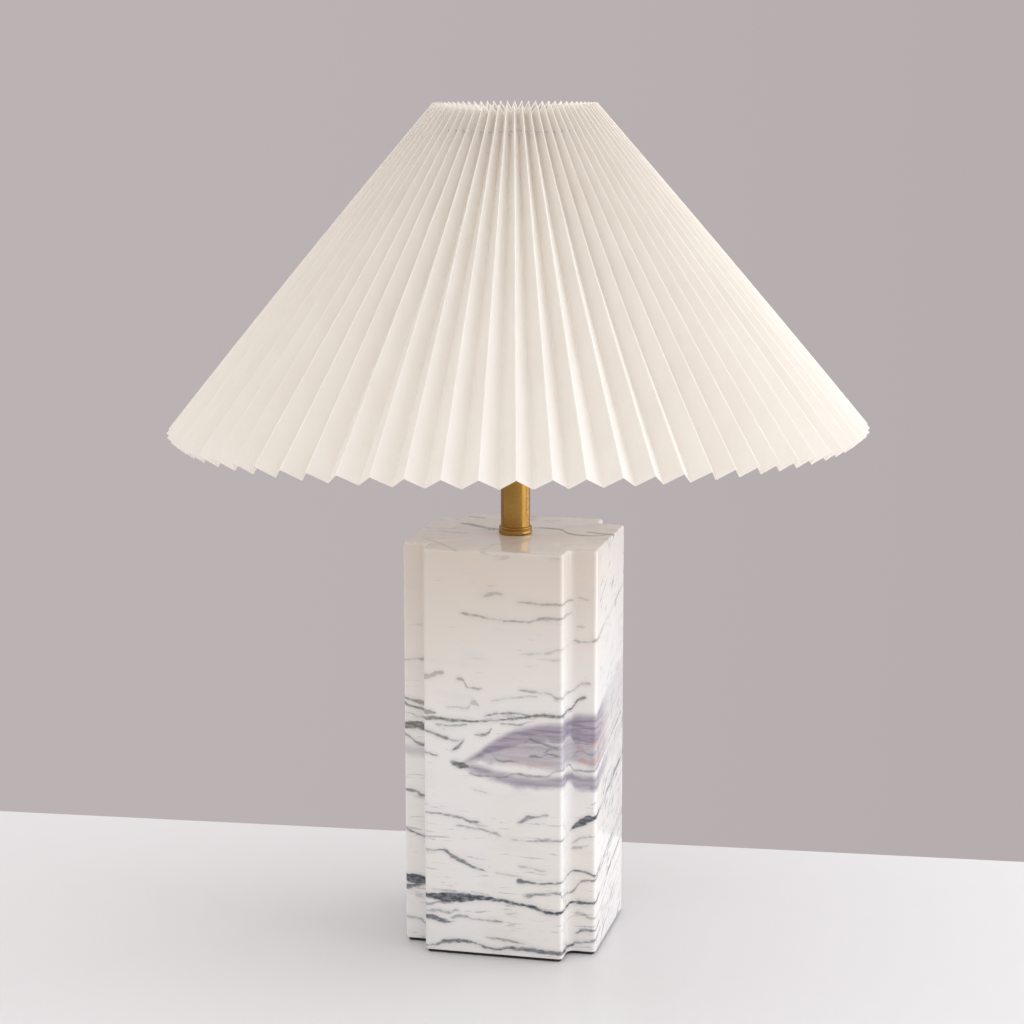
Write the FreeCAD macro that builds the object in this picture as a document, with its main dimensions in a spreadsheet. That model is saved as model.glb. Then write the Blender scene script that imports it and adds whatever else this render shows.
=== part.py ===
import FreeCAD, Part
import os
import re
import Sketcher

# Column table lamp: a notched marble column on a thin pad, a brass neck, a lampholder
# with a turn knob, and a pleated cone shade hung from a wire carrier.
# Millimetres, +Z up, origin at the centre of the underside, front of the column at -Y.

doc = FreeCAD.newDocument("ColumnTableLamp")
sheet = doc.addObject("Spreadsheet::Sheet", "Sizes")

# ---------------------------------------------------------------- driving dimensions
DIMENSIONS = {
    # marble column and what closes it below
    "column_width": 127.0,
    "column_height": 265.0,
    "notch_width": 18.0,
    "corner_round": 3.0,
    "notch_round": 6.0,
    "top_bevel": 1.2,
    "recess_radius": 34.0,
    "recess_depth": 30.0,
    "stem_bore_radius": 7.0,
    "pad_thickness": 2.0,
    "pad_inset": 1.5,
    # cord inlet at the back
    "inlet_height": 15.0,
    "inlet_bore_radius": 3.5,
    "inlet_sleeve_radius": 5.0,
    "inlet_sleeve_length": 16.0,
    "inlet_flange_radius": 7.5,
    "inlet_flange_thickness": 1.6,
    # hollow threaded stem with its fixings in the recess
    "stem_radius": 5.0,
    "stem_bore": 3.5,
    "stem_tail": 3.0,
    "stem_head": 7.0,
    "load_plate_width": 42.0,
    "load_plate_thickness": 3.0,
    "lock_washer_radius": 9.0,
    "lock_washer_thickness": 1.6,
    "nut_flats": 14.0,
    "nut_height": 4.0,
    # brass neck
    "collar_radius": 10.75,
    "collar_lip_radius": 10.35,
    "collar_height": 5.2,
    "collar_bead_height": 3.9,
    "collar_bead_bevel": 0.8,
    "collar_seat_depth": 3.2,
    "tube_radius": 9.525,
    "tube_wall": 1.2,
    "tube_length": 111.0,
    # lampholder
    "holder_radius": 18.6,
    "cap_wall": 2.0,
    "cap_floor": 5.0,
    "cap_height": 16.0,
    "shell_bore": 15.2,
    "shell_height": 39.8,
    "shoulder_height": 26.8,
    "shell_thread_radius": 17.2,
    "core_radius": 15.0,
    "core_skirt_wall": 2.4,
    "core_cavity_height": 8.0,
    "core_height": 19.0,
    "screw_shell_radius": 13.85,
    "screw_shell_wall": 0.6,
    "screw_shell_height": 30.0,
    "contact_width": 5.0,
    "contact_length": 12.0,
    "contact_thickness": 0.6,
    "contact_rise": 3.0,
    # turn knob
    "shaft_radius": 2.0,
    "shaft_depth": 8.0,
    "shaft_height": 14.0,
    "slot_margin": 1.0,
    "knob_gap": 1.0,
    "knob_radius": 4.6,
    "knob_length": 20.0,
    "knob_waist_radius": 3.2,
    "knob_waist_length": 6.0,
    "knob_grip_thickness": 4.2,
    "knob_socket_depth": 8.0,
    # bulb
    "bulb_cap_radius": 13.1,
    "bulb_cap_wall": 0.4,
    "bulb_cap_height": 24.0,
    "bulb_insulator_height": 3.0,
    "bulb_tip_radius": 4.6,
    "bulb_tip_height": 1.4,
    "bulb_neck_inset": 8.0,
    "bulb_radius": 30.0,
    "bulb_length": 108.0,
    "bulb_wall": 0.9,
    "bulb_flare_radius": 52.0,
    "bulb_crown_radius": 8.0,
    # shade carrier
    "fitter_radius": 22.5,
    "fitter_thickness": 1.5,
    "clamp_radius": 20.6,
    "clamp_height": 5.5,
    "wire_radius": 1.5,
    "arm_reach": 40.0,
    "arm_bend_radius": 9.0,
    "arm_count": 3,
    # pleated shade
    "shade_bottom_radius": 225.0,
    "shade_top_radius": 52.0,
    "shade_height": 205.2,
    "shade_rim_height": 338.5,
    "pleat_count": 72,
    "pleat_phase": 2.5,
    "pleat_depth_bottom": 13.1,
    "pleat_depth_top": 10.4,
    "cloth_wall": 0.7,
    "cloth_wall_top": 0.4,
    "ring_drop": 15.5,
    # clearances
    "slip_clearance": 0.05,
    "seat_clearance": 0.2,
}

for row, (name, size) in enumerate(DIMENSIONS.items(), start=1):
    sheet.set(f"A{row}", name)
    sheet.set(f"B{row}", str(size))
    sheet.setAlias(f"B{row}", name)
doc.recompute()

# ---------------------------------------------------------------- derived levels and radii
AXIS = "0"
COLUMN_TOP = "(pad_thickness + column_height)"
RECESS_TOP = "(pad_thickness + recess_depth)"
LOCK_WASHER_TOP = f"({RECESS_TOP} - load_plate_thickness)"
NUT_TOP = f"({LOCK_WASHER_TOP} - lock_washer_thickness)"
INLET_LEVEL = "(pad_thickness + inlet_height)"
TUBE_BOTTOM = f"({COLUMN_TOP} + collar_height - collar_seat_depth)"
TUBE_TOP = f"({TUBE_BOTTOM} + tube_length)"
CORE_BOTTOM = f"({TUBE_TOP} + cap_floor)"
CORE_TOP = f"({CORE_BOTTOM} + core_height)"
SHELL_BOTTOM = f"({TUBE_TOP} + cap_height)"
SHELL_TOP = f"({SHELL_BOTTOM} + shell_height)"
SHOULDER_TOP = f"({SHELL_BOTTOM} + shoulder_height)"
FITTER_TOP = f"({SHOULDER_TOP} + fitter_thickness)"
SHAFT_LEVEL = f"({CORE_BOTTOM} + shaft_height)"
KNOB_START = "(holder_radius + knob_gap)"
CONTACT_TOP = f"({CORE_TOP} + contact_rise)"
BULB_CAP_BOTTOM = f"({CONTACT_TOP} + bulb_tip_height)"
BULB_CAP_TOP = f"({BULB_CAP_BOTTOM} + bulb_cap_height)"
BULB_CENTRE = f"({CONTACT_TOP} + bulb_length - bulb_radius)"
BULB_NECK_RADIUS = "(bulb_cap_radius - bulb_cap_wall - slip_clearance)"
BULB_SIDES = 24
FLARE_BANDS = 3
HEAD_BANDS = 5
CLAMP_FLATS = 24

SHADE_TOP = "(shade_rim_height + shade_height)"
SLOPE = "((shade_bottom_radius - shade_top_radius) / shade_height)"
HALF_PITCH = "(180deg / pleat_count)"
RING_LEVEL = f"({SHADE_TOP} - ring_drop)"


def bound(expression):
    """Point every size named in the expression at its cell."""
    return re.sub(r"[a-z]+(?:_[a-z]+)+", r"Sizes.\g<0>", expression)


def value(expression):
    """Number that the expression gives with the present sizes."""
    result = sheet.evalExpression(bound(expression))
    return getattr(result, "Value", result)


# ---------------------------------------------------------------- modelling helpers
# lengths closer than this count as equal
NEAR = 0.01
bodies = []


def new_body(label):
    body = doc.addObject("PartDesign::Body", label)
    body.Label = label
    bodies.append(body)
    return body


def origin_feature(body, role):
    return next(item for item in body.Origin.OriginFeatures if item.Role == role)


def sketch_on(body, role, name, level=None):
    """Sketch on one of the body's origin planes, lifted to a level along its normal."""
    sketch = body.newObject("Sketcher::SketchObject", name)
    sketch.AttachmentSupport = [(origin_feature(body, role), "")]
    sketch.MapMode = "FlatFace"
    if level is not None:
        sketch.setExpression(".AttachmentOffset.Base.z", bound(level))
    return sketch


def hold(sketch, kind, *places, size):
    """Dimensional constraint that follows an expression."""
    index = sketch.addConstraint(Sketcher.Constraint(kind, *places, value(size)))
    sketch.setExpression(f"Constraints[{index}]", bound(size))


def arc_between(start, end, radius):
    """Arc from start to end; a positive radius bends to the left of the way."""
    chord = end - start
    middle = (start + end) * 0.5
    rise = (radius**2 - (chord.Length / 2) ** 2) ** 0.5
    left = FreeCAD.Vector(-chord.y, chord.x, 0).normalize()
    side = 1 if radius > 0 else -1
    centre = middle + left * rise * side
    circle = Part.Circle(centre, FreeCAD.Vector(0, 0, 1), abs(radius))
    first, last = (start, end) if side > 0 else (end, start)
    return Part.ArcOfCircle(circle, circle.parameter(first), circle.parameter(last))


def outline(sketch, points, closed=True):
    """Join points by lines, or by an arc where a point carries the radius of the next side.

    Each point is (across, up) or (across, up, radius), all as expressions. Every point is
    held by its distances from the sketch's origin.
    """
    spots = [FreeCAD.Vector(value(point[0]), value(point[1]), 0) for point in points]
    count = len(points)
    sides = []
    for number in range(count if closed else count - 1):
        start = spots[number]
        end = spots[(number + 1) % count]
        if len(points[number]) == 3:
            radius = points[number][2]
            side = sketch.addGeometry(arc_between(start, end, value(radius)))
            ends = (1, 2) if value(radius) > 0 else (2, 1)
            radius_size = radius if value(radius) > 0 else f"-({radius})"
            sides.append((side, *ends, radius_size))
        else:
            side = sketch.addGeometry(Part.LineSegment(start, end))
            sides.append((side, 1, 2, None))
    for number in range(len(sides) if closed else len(sides) - 1):
        here = sides[number]
        there = sides[(number + 1) % len(sides)]
        sketch.addConstraint(
            Sketcher.Constraint("Coincident", here[0], here[2], there[0], there[1])
        )
    for number, point in enumerate(points):
        side, vertex = sides[number][:2] if number < len(sides) else (sides[-1][0], sides[-1][2])
        hold(sketch, "DistanceX", side, vertex, size=point[0])
        hold(sketch, "DistanceY", side, vertex, size=point[1])
    for side, _, _, radius_size in sides:
        if radius_size is not None:
            hold(sketch, "Radius", side, size=radius_size)


def circle(sketch, across, up, radius):
    centre = FreeCAD.Vector(value(across), value(up), 0)
    side = sketch.addGeometry(Part.Circle(centre, FreeCAD.Vector(0, 0, 1), value(radius)))
    hold(sketch, "DistanceX", side, 3, size=across)
    hold(sketch, "DistanceY", side, 3, size=up)
    hold(sketch, "Radius", side, size=radius)


def feature(body, kind, name, profile, **settings):
    """Sketch based feature; settings given as text follow an expression."""
    item = body.newObject(f"PartDesign::{kind}", name)
    item.Profile = profile
    for key, setting in settings.items():
        if isinstance(setting, str):
            item.setExpression(key, bound(setting))
        else:
            setattr(item, key, setting)
    profile.Visibility = False
    return item


def upright_axis(sketch):
    return (sketch, ["V_Axis"])


def turned(body, name, points):
    """Revolve a profile drawn in the XZ plane about the lamp's upright axis."""
    sketch = sketch_on(body, "XZ_Plane", f"{name}Profile")
    outline(sketch, points)
    return feature(body, "Revolution", name, sketch, ReferenceAxis=upright_axis(sketch), Angle=360.0)


def repeated(body, name, originals, count):
    """Copies spread evenly about the lamp's upright axis."""
    doc.recompute()
    pattern = body.newObject("PartDesign::PolarPattern", name)
    pattern.Originals = originals
    pattern.Axis = (origin_feature(body, "Z_Axis"), [""])
    pattern.Angle = 360.0
    pattern.setExpression("Occurrences", bound(count))
    body.Tip = pattern
    return pattern


def edges_where(shape, test):
    """Names of the edges whose middle passes the test."""
    names = []
    for number, edge in enumerate(shape.Edges, start=1):
        middle = edge.valueAt((edge.FirstParameter + edge.LastParameter) / 2)
        if test(edge, middle):
            names.append(f"Edge{number}")
    return names


def rounded(body, name, base, names, radius):
    item = body.newObject("PartDesign::Fillet", name)
    item.Base = (base, names)
    item.setExpression("Radius", bound(radius))
    doc.recompute()
    return item


def bevelled(body, name, base, level, size):
    """Chamfer round every edge that lies at a level."""
    item = body.newObject("PartDesign::Chamfer", name)
    item.Base = (base, edges_where(base.Shape, lambda edge, middle: level_with(middle, level)))
    item.setExpression("Size", bound(size))
    doc.recompute()
    return item


def is_upright(edge):
    box = edge.BoundBox
    return box.XLength < NEAR and box.YLength < NEAR and box.ZLength > NEAR


def level_with(middle, level):
    return abs(middle.z - value(level)) < NEAR


def flat_panel(corners):
    return Part.Face(Part.makePolygon([*corners, corners[0]]))


def panel_solid(label, panels):
    """Piece whose skin is sewn from flat panels."""
    skin = Part.makeCompound(panels)
    skin.sewShape()
    piece = doc.addObject("Part::Feature", label)
    piece.Shape = Part.makeSolid(skin.Shells[0])
    bodies.append(piece)


def square_ring_points(inner, outer, bottom, top):
    return [(inner, bottom), (outer, bottom), (outer, top), (inner, top)]


# ---------------------------------------------------------------- column
def notched_square(half_width, notch):
    """Outline of a square with a square notch in each corner, anticlockwise."""
    step = f"({half_width} - {notch})"
    return [
        (step, f"-{half_width}"),
        (step, f"-{step}"),
        (half_width, f"-{step}"),
        (half_width, step),
        (step, step),
        (step, half_width),
        (f"-{step}", half_width),
        (f"-{step}", step),
        (f"-{half_width}", step),
        (f"-{half_width}", f"-{step}"),
        (f"-{step}", f"-{step}"),
        (f"-{step}", f"-{half_width}"),
    ]


def round_notched_block(body, block, corner, notch_corner):
    """Round the upright corners and the notches of a notched block."""
    inner = value("(column_width - notch_width) / 2")
    doc.recompute()
    convex = edges_where(
        block.Shape,
        lambda edge, middle: is_upright(edge) and max(abs(middle.x), abs(middle.y)) > inner,
    )
    outer = rounded(body, f"{body.Label}Corners", block, convex, corner)
    concave = edges_where(
        outer.Shape,
        lambda edge, middle: is_upright(edge) and max(abs(middle.x), abs(middle.y)) < inner
        and abs(abs(middle.x) - abs(middle.y)) < NEAR,
    )
    return rounded(body, f"{body.Label}Notches", outer, concave, notch_corner)


def make_marble_column():
    body = new_body("marble_column")
    plan = sketch_on(body, "XY_Plane", "ColumnPlan", "pad_thickness")
    outline(plan, notched_square("(column_width / 2)", "notch_width"))
    block = feature(body, "Pad", "ColumnBlock", plan, Length="column_height")
    block = round_notched_block(body, block, "corner_round", "notch_round")
    bevelled(body, "ColumnTopEdge", block, COLUMN_TOP, "top_bevel")

    recess = sketch_on(body, "XY_Plane", "RecessPlan", "pad_thickness")
    circle(recess, AXIS, AXIS, "recess_radius")
    feature(body, "Pocket", "Recess", recess, Length="recess_depth", Reversed=True)
    bore = sketch_on(body, "XY_Plane", "StemBorePlan", RECESS_TOP)
    circle(bore, AXIS, AXIS, "stem_bore_radius")
    bore_length = "column_height - recess_depth"
    feature(body, "Pocket", "StemBore", bore, Length=bore_length, Reversed=True)

    inlet = sketch_on(body, "XZ_Plane", "InletPlan")
    circle(inlet, AXIS, INLET_LEVEL, "inlet_sleeve_radius + slip_clearance")
    feature(body, "Pocket", "InletHole", inlet, Length="column_width / 2", Reversed=False)


def make_base_pad():
    body = new_body("base_pad")
    plan = sketch_on(body, "XY_Plane", "PadPlan")
    outline(plan, notched_square("(column_width / 2 - pad_inset)", "notch_width"))
    feature(body, "Pad", "PadBlock", plan, Length="pad_thickness")


def make_cord_inlet():
    """Flanged bush that lines the cord hole."""
    body = new_body("cord_inlet_bush")
    face = "column_width / 2"
    sleeve = sketch_on(body, "XZ_Plane", "SleevePlan", f"inlet_sleeve_length - {face}")
    circle(sleeve, AXIS, INLET_LEVEL, "inlet_sleeve_radius")
    circle(sleeve, AXIS, INLET_LEVEL, "inlet_bore_radius")
    feature(body, "Pad", "Sleeve", sleeve, Length="inlet_sleeve_length", Reversed=True)
    flange = sketch_on(body, "XZ_Plane", "FlangePlan", f"-{face}")
    circle(flange, AXIS, INLET_LEVEL, "inlet_flange_radius")
    circle(flange, AXIS, INLET_LEVEL, "inlet_bore_radius")
    feature(body, "Pad", "Flange", flange, Length="inlet_flange_thickness", Reversed=True)


# ---------------------------------------------------------------- stem and neck
def make_stem():
    body = new_body("threaded_stem")
    bottom = f"({NUT_TOP} - nut_height - stem_tail)"
    top = f"({TUBE_TOP} + stem_head)"
    turned(body, "Stem", square_ring_points("stem_bore", "stem_radius", bottom, top))


def make_load_plate():
    """Square plate that spreads the nut's pull over the top of the recess."""
    body = new_body("load_plate")
    plan = sketch_on(body, "XY_Plane", "PlatePlan", LOCK_WASHER_TOP)
    half = "(load_plate_width / 2)"
    outline(plan, [(f"-{half}", f"-{half}"), (half, f"-{half}"), (half, half), (f"-{half}", half)])
    circle(plan, AXIS, AXIS, "stem_radius + slip_clearance")
    feature(body, "Pad", "Plate", plan, Length="load_plate_thickness")


def make_lock_washer():
    body = new_body("lock_washer")
    inner = "stem_radius + slip_clearance"
    turned(body, "Washer", square_ring_points(inner, "lock_washer_radius", NUT_TOP, LOCK_WASHER_TOP))


def make_stem_nut():
    body = new_body("stem_nut")
    plan = sketch_on(body, "XY_Plane", "NutPlan", f"{NUT_TOP} - nut_height")
    circle(plan, AXIS, AXIS, "stem_radius + slip_clearance")
    corners = [
        (f"nut_flats / sqrt(3) * cos({60 * number}deg)", f"nut_flats / sqrt(3) * sin({60 * number}deg)")
        for number in range(6)
    ]
    outline(plan, corners)
    feature(body, "Pad", "Nut", plan, Length="nut_height")


def make_neck_collar():
    """Turned collar: a bead below a thin lip, with a seat for the tube."""
    body = new_body("neck_collar")
    bead_top = f"({COLUMN_TOP} + collar_bead_height)"
    top = f"({COLUMN_TOP} + collar_height)"
    turned(
        body,
        "Collar",
        [
            ("stem_radius + slip_clearance", COLUMN_TOP),
            ("collar_radius", COLUMN_TOP),
            ("collar_radius", f"{bead_top} - collar_bead_bevel"),
            ("collar_lip_radius", bead_top),
            ("collar_lip_radius", top),
            ("tube_radius + slip_clearance", top),
            ("tube_radius + slip_clearance", TUBE_BOTTOM),
            ("stem_radius + slip_clearance", TUBE_BOTTOM),
        ],
    )


def make_neck_tube():
    body = new_body("neck_tube")
    points = square_ring_points("tube_radius - tube_wall", "tube_radius", TUBE_BOTTOM, TUBE_TOP)
    turned(body, "Tube", points)


# ---------------------------------------------------------------- lampholder
def make_socket_cap():
    """Moulded cup whose thick floor screws onto the stem."""
    body = new_body("socket_cap")
    inner = "(holder_radius - cap_wall)"
    turned(
        body,
        "Cap",
        [
            ("stem_radius + slip_clearance", TUBE_TOP),
            ("holder_radius", TUBE_TOP),
            ("holder_radius", SHELL_BOTTOM),
            (inner, SHELL_BOTTOM),
            (inner, CORE_BOTTOM),
            ("stem_radius + slip_clearance", CORE_BOTTOM),
        ],
    )


def make_socket_shell():
    """Moulded skirt with an outer thread above the shoulder that carries the shade, and a
    slot in its +X wall that lets it slide down over the knob's shaft."""
    body = new_body("socket_shell")
    turned(
        body,
        "Shell",
        [
            ("shell_bore", SHELL_BOTTOM),
            ("holder_radius", SHELL_BOTTOM),
            ("holder_radius", SHOULDER_TOP),
            ("shell_thread_radius", SHOULDER_TOP),
            ("shell_thread_radius", SHELL_TOP),
            ("shell_bore", SHELL_TOP),
        ],
    )
    slot = sketch_on(body, "YZ_Plane", "ShaftSlotPlan")
    half = "(shaft_radius + slot_margin)"
    outline(
        slot,
        [
            (f"-{half}", f"{SHELL_BOTTOM} - slot_margin"),
            (half, f"{SHELL_BOTTOM} - slot_margin"),
            (half, SHAFT_LEVEL, half),
            (AXIS, f"{SHAFT_LEVEL} + {half}", half),
            (f"-{half}", SHAFT_LEVEL),
        ],
    )
    feature(body, "Pocket", "ShaftSlot", slot, Length="holder_radius", Reversed=True)


def make_socket_core():
    """Moulded insert of the holder: a wiring cavity below, the shaft's bearing above it."""
    body = new_body("socket_core")
    cavity_radius = "(core_radius - core_skirt_wall)"
    cavity_top = f"({CORE_BOTTOM} + core_cavity_height)"
    turned(
        body,
        "Core",
        [
            (cavity_radius, CORE_BOTTOM),
            ("core_radius", CORE_BOTTOM),
            ("core_radius", CORE_TOP),
            (AXIS, CORE_TOP),
            (AXIS, cavity_top),
            (cavity_radius, cavity_top),
        ],
    )
    shaft = sketch_on(body, "YZ_Plane", "ShaftBorePlan", "core_radius - shaft_depth")
    circle(shaft, AXIS, SHAFT_LEVEL, "shaft_radius + slip_clearance")
    feature(body, "Pocket", "ShaftBore", shaft, Length="core_radius", Reversed=True)


def make_screw_shell():
    body = new_body("screw_shell")
    top = f"({CORE_TOP} + screw_shell_height)"
    inner = "screw_shell_radius - screw_shell_wall"
    turned(body, "ScrewShell", square_ring_points(inner, "screw_shell_radius", CORE_TOP, top))


def make_centre_contact():
    """Bent brass tongue that the bulb's tip presses on."""
    body = new_body("centre_contact")
    sketch = sketch_on(body, "XZ_Plane", "TonguePlan")
    half = "(contact_length / 2)"
    outline(
        sketch,
        [
            (f"-{half}", CORE_TOP),
            (half, CORE_TOP),
            (half, f"{CORE_TOP} + contact_thickness"),
            (f"contact_thickness - {half}", f"{CORE_TOP} + contact_thickness"),
            (f"contact_thickness - {half}", f"{CONTACT_TOP} - contact_thickness"),
            (f"{half} * 0.5", f"{CONTACT_TOP} - contact_thickness"),
            (f"{half} * 0.5", CONTACT_TOP),
            (f"-{half}", CONTACT_TOP),
        ],
    )
    feature(body, "Pad", "Tongue", sketch, Length="contact_width", Midplane=True)


# ---------------------------------------------------------------- turn knob
def make_switch_shaft():
    body = new_body("switch_shaft")
    start = "(core_radius - shaft_depth + seat_clearance)"
    plan = sketch_on(body, "YZ_Plane", "ShaftPlan", start)
    circle(plan, AXIS, SHAFT_LEVEL, "shaft_radius")
    length = f"{KNOB_START} + knob_socket_depth - slip_clearance - {start}"
    feature(body, "Pad", "Shaft", plan, Length=length)


def make_switch_knob():
    """Paddle knob: a round waist that steps out to a flat grip."""
    body = new_body("switch_knob")
    grip = f"({KNOB_START} + knob_waist_length)"
    waist = sketch_on(body, "YZ_Plane", "WaistPlan", KNOB_START)
    circle(waist, AXIS, SHAFT_LEVEL, "knob_waist_radius")
    feature(body, "Pad", "Waist", waist, Length="knob_waist_length")
    plan = sketch_on(body, "YZ_Plane", "GripPlan", grip)
    half = "(knob_grip_thickness / 2)"
    reach = f"sqrt(knob_radius^2 - {half}^2)"
    outline(
        plan,
        [
            (half, f"{SHAFT_LEVEL} - {reach}"),
            (half, f"{SHAFT_LEVEL} + {reach}", "knob_radius"),
            (f"-{half}", f"{SHAFT_LEVEL} + {reach}"),
            (f"-{half}", f"{SHAFT_LEVEL} - {reach}", "knob_radius"),
        ],
    )
    feature(body, "Pad", "Grip", plan, Length="knob_length - knob_waist_length")
    bore = sketch_on(body, "YZ_Plane", "KnobBorePlan", KNOB_START)
    circle(bore, AXIS, SHAFT_LEVEL, "shaft_radius + slip_clearance")
    feature(body, "Pocket", "KnobBore", bore, Length="knob_socket_depth", Reversed=True)


# ---------------------------------------------------------------- bulb
def make_bulb_cap():
    body = new_body("bulb_cap")
    inner = "bulb_cap_radius - bulb_cap_wall"
    turned(body, "BulbCap", square_ring_points(inner, "bulb_cap_radius", BULB_CAP_BOTTOM, BULB_CAP_TOP))


def make_disc(label, radius, bottom, height):
    body = new_body(label)
    plan = sketch_on(body, "XY_Plane", "DiscPlan", bottom)
    circle(plan, AXIS, AXIS, radius)
    feature(body, "Pad", "Disc", plan, Length=height)


def bulb_sections(neck_radius, head, flare):
    """Radius and level of each section up the bulb's wall: a flared neck, then the head.

    The flare's centre lies outside the neck and the head's centre on the axis, so both
    walls share the centres and differ only in their radii.
    """
    across = f"({BULB_NECK_RADIUS} + bulb_flare_radius)"
    reach = "(bulb_radius + bulb_flare_radius)"
    drop = f"sqrt({reach}^2 - {across}^2)"
    join_angle = f"asin({drop} / {reach})"
    sections = [(neck_radius, f"{BULB_CAP_TOP} - bulb_neck_inset")]
    for number in range(FLARE_BANDS):
        turn = f"({join_angle} * {number} / {FLARE_BANDS})"
        radius = f"{across} - {flare} * cos({turn})"
        sections.append((radius, f"{BULB_CENTRE} - {drop} + {flare} * sin({turn})"))
    for number in range(HEAD_BANDS):
        turn = f"((90deg + {join_angle}) * {number} / {HEAD_BANDS} - {join_angle})"
        sections.append((f"{head} * cos({turn})", f"{BULB_CENTRE} + {head} * sin({turn})"))
    sections.append(("bulb_crown_radius", f"{BULB_CENTRE} + sqrt({head}^2 - bulb_crown_radius^2)"))
    return sections


def polygon_corners(radius, level):
    """Corners of a many-sided section of the bulb."""
    spoke = FreeCAD.Vector(value(radius), 0, value(level))
    turns = [360 * number / BULB_SIDES for number in range(BULB_SIDES)]
    return [FreeCAD.Rotation(FreeCAD.Vector(0, 0, 1), turn).multVec(spoke) for turn in turns]


def band_between(lower, upper):
    """Flat panels that join two many-sided sections."""
    panels = []
    for number in range(BULB_SIDES):
        following = (number + 1) % BULB_SIDES
        panels.append(flat_panel([lower[number], lower[following], upper[following], upper[number]]))
    return panels


def make_bulb_walls():
    """Housing and globe of the bulb, thin walls with flat facets. The housing stands in the
    cap and ends a band below the round head, where the globe begins."""
    outer = bulb_sections(BULB_NECK_RADIUS, "bulb_radius", "bulb_flare_radius")
    inner_head = "(bulb_radius - bulb_wall)"
    inner_flare = "(bulb_flare_radius + bulb_wall)"
    inner = bulb_sections(f"({BULB_NECK_RADIUS} - bulb_wall)", inner_head, inner_flare)
    outer, inner = [[polygon_corners(*section) for section in wall] for wall in (outer, inner)]
    seam = FLARE_BANDS
    for label, part in (("bulb_housing", slice(0, seam + 1)), ("bulb_globe", slice(seam, None))):
        panels = band_between(outer[part][0], inner[part][0])
        for wall in (outer[part], inner[part]):
            for lower, upper in zip(wall, wall[1:]):
                panels += band_between(lower, upper)
        if label == "bulb_housing":
            panels += band_between(outer[seam], inner[seam])
        else:
            panels += [flat_panel(outer[-1]), flat_panel(inner[-1])]
        panel_solid(label, panels)


# ---------------------------------------------------------------- shade carrier
def make_fitter_ring():
    """Flat ring that sits on the lampholder's shoulder."""
    body = new_body("fitter_ring")
    inner = "(shell_thread_radius + seat_clearance)"
    turned(body, "Fitter", square_ring_points(inner, "fitter_radius", SHOULDER_TOP, FITTER_TOP))


def make_clamp_ring():
    """Threaded ring with gripping flats that screws down on the fitter."""
    body = new_body("shade_clamp_ring")
    plan = sketch_on(body, "XY_Plane", "ClampPlan", FITTER_TOP)
    turns = [f"{360 * number / CLAMP_FLATS}deg" for number in range(CLAMP_FLATS)]
    outline(plan, [(f"clamp_radius * cos({turn})", f"clamp_radius * sin({turn})") for turn in turns])
    circle(plan, AXIS, AXIS, "shell_thread_radius + slip_clearance")
    feature(body, "Pad", "Clamp", plan, Length="clamp_height")


def section_at(level):
    """Fold radii of the cloth at a level: outer ridge, outer valley, inner ridge, inner
    valley. The cloth is pressed thinner towards the top, where the pleats crowd."""
    share = f"(({level} - shade_rim_height) / shade_height)"
    ridge = f"(shade_bottom_radius - ({level} - shade_rim_height) * {SLOPE})"
    depth = f"(pleat_depth_bottom + (pleat_depth_top - pleat_depth_bottom) * {share})"
    wall = f"(cloth_wall + (cloth_wall_top - cloth_wall) * {share})"
    valley = f"({ridge} - {depth})"
    half = HALF_PITCH
    lean = f"atan({valley} * sin({half}) / ({ridge} - {valley} * cos({half})))"
    inner_ridge = f"({ridge} - {wall} / sin({lean}))"
    inner_valley = f"({valley} - {wall} / sin({lean} + {half}))"
    return ridge, valley, inner_ridge, inner_valley


# the ring's upper outer corner meets the sloping inner folds, seat_clearance short of them
RING_RADIUS = (
    f"({section_at(RING_LEVEL)[-1]} - (seat_clearance + wire_radius) * sqrt(1 + {SLOPE}^2))"
)


def wire_section(sketch, across, up):
    """Eight-sided section as wide as the wire."""
    corner = "(wire_radius / cos(22.5deg))"
    turns = [45 * number + 22.5 for number in range(8)]
    outline(
        sketch,
        [
            (f"{across} + {corner} * cos({turn}deg)", f"{up} + {corner} * sin({turn}deg)")
            for turn in turns
        ],
    )


def make_shade_ring():
    """Wire ring that the inner folds of the pleats sit on."""
    body = new_body("shade_ring")
    sketch = sketch_on(body, "XZ_Plane", "RingProfile")
    wire_section(sketch, RING_RADIUS, RING_LEVEL)
    feature(body, "Revolution", "Ring", sketch, ReferenceAxis=upright_axis(sketch), Angle=360.0)


def make_carrier_arms():
    """Three bent wires that drop from the ring to the fitter."""
    body = new_body("carrier_arms")
    start_level = f"({FITTER_TOP} - fitter_thickness / 2)"
    across = f"({RING_RADIUS} - arm_reach)"
    rise = f"({RING_LEVEL} - {start_level})"
    run = f"sqrt({across}^2 + {rise}^2)"
    # the leaning end stops where its highest corner meets the ring's lower flat
    end_level = f"({RING_LEVEL} - wire_radius * (1 + {across} / {run} / cos(22.5deg)))"
    end = f"({RING_RADIUS} - wire_radius * {across} / {rise})"
    tangent = f"(arm_bend_radius * {rise} / ({run} + {across}))"
    path = sketch_on(body, "XZ_Plane", "ArmPath")
    outline(
        path,
        [
            ("fitter_radius", start_level),
            (f"arm_reach - {tangent}", start_level),
            (f"arm_reach + {tangent} * {across} / {run}", f"{start_level} + {tangent} * {rise} / {run}"),
            (end, end_level),
        ],
        closed=False,
    )
    section = sketch_on(body, "YZ_Plane", "ArmSection", "fitter_radius")
    wire_section(section, AXIS, start_level)
    spine = (path, ["Edge1", "Edge2", "Edge3"])
    arm = feature(body, "AdditivePipe", "Arm", section, Spine=spine)
    arm.Transition = "Right corner"
    path.Visibility = False
    repeated(body, "ArmSet", [arm], "arm_count")


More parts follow.
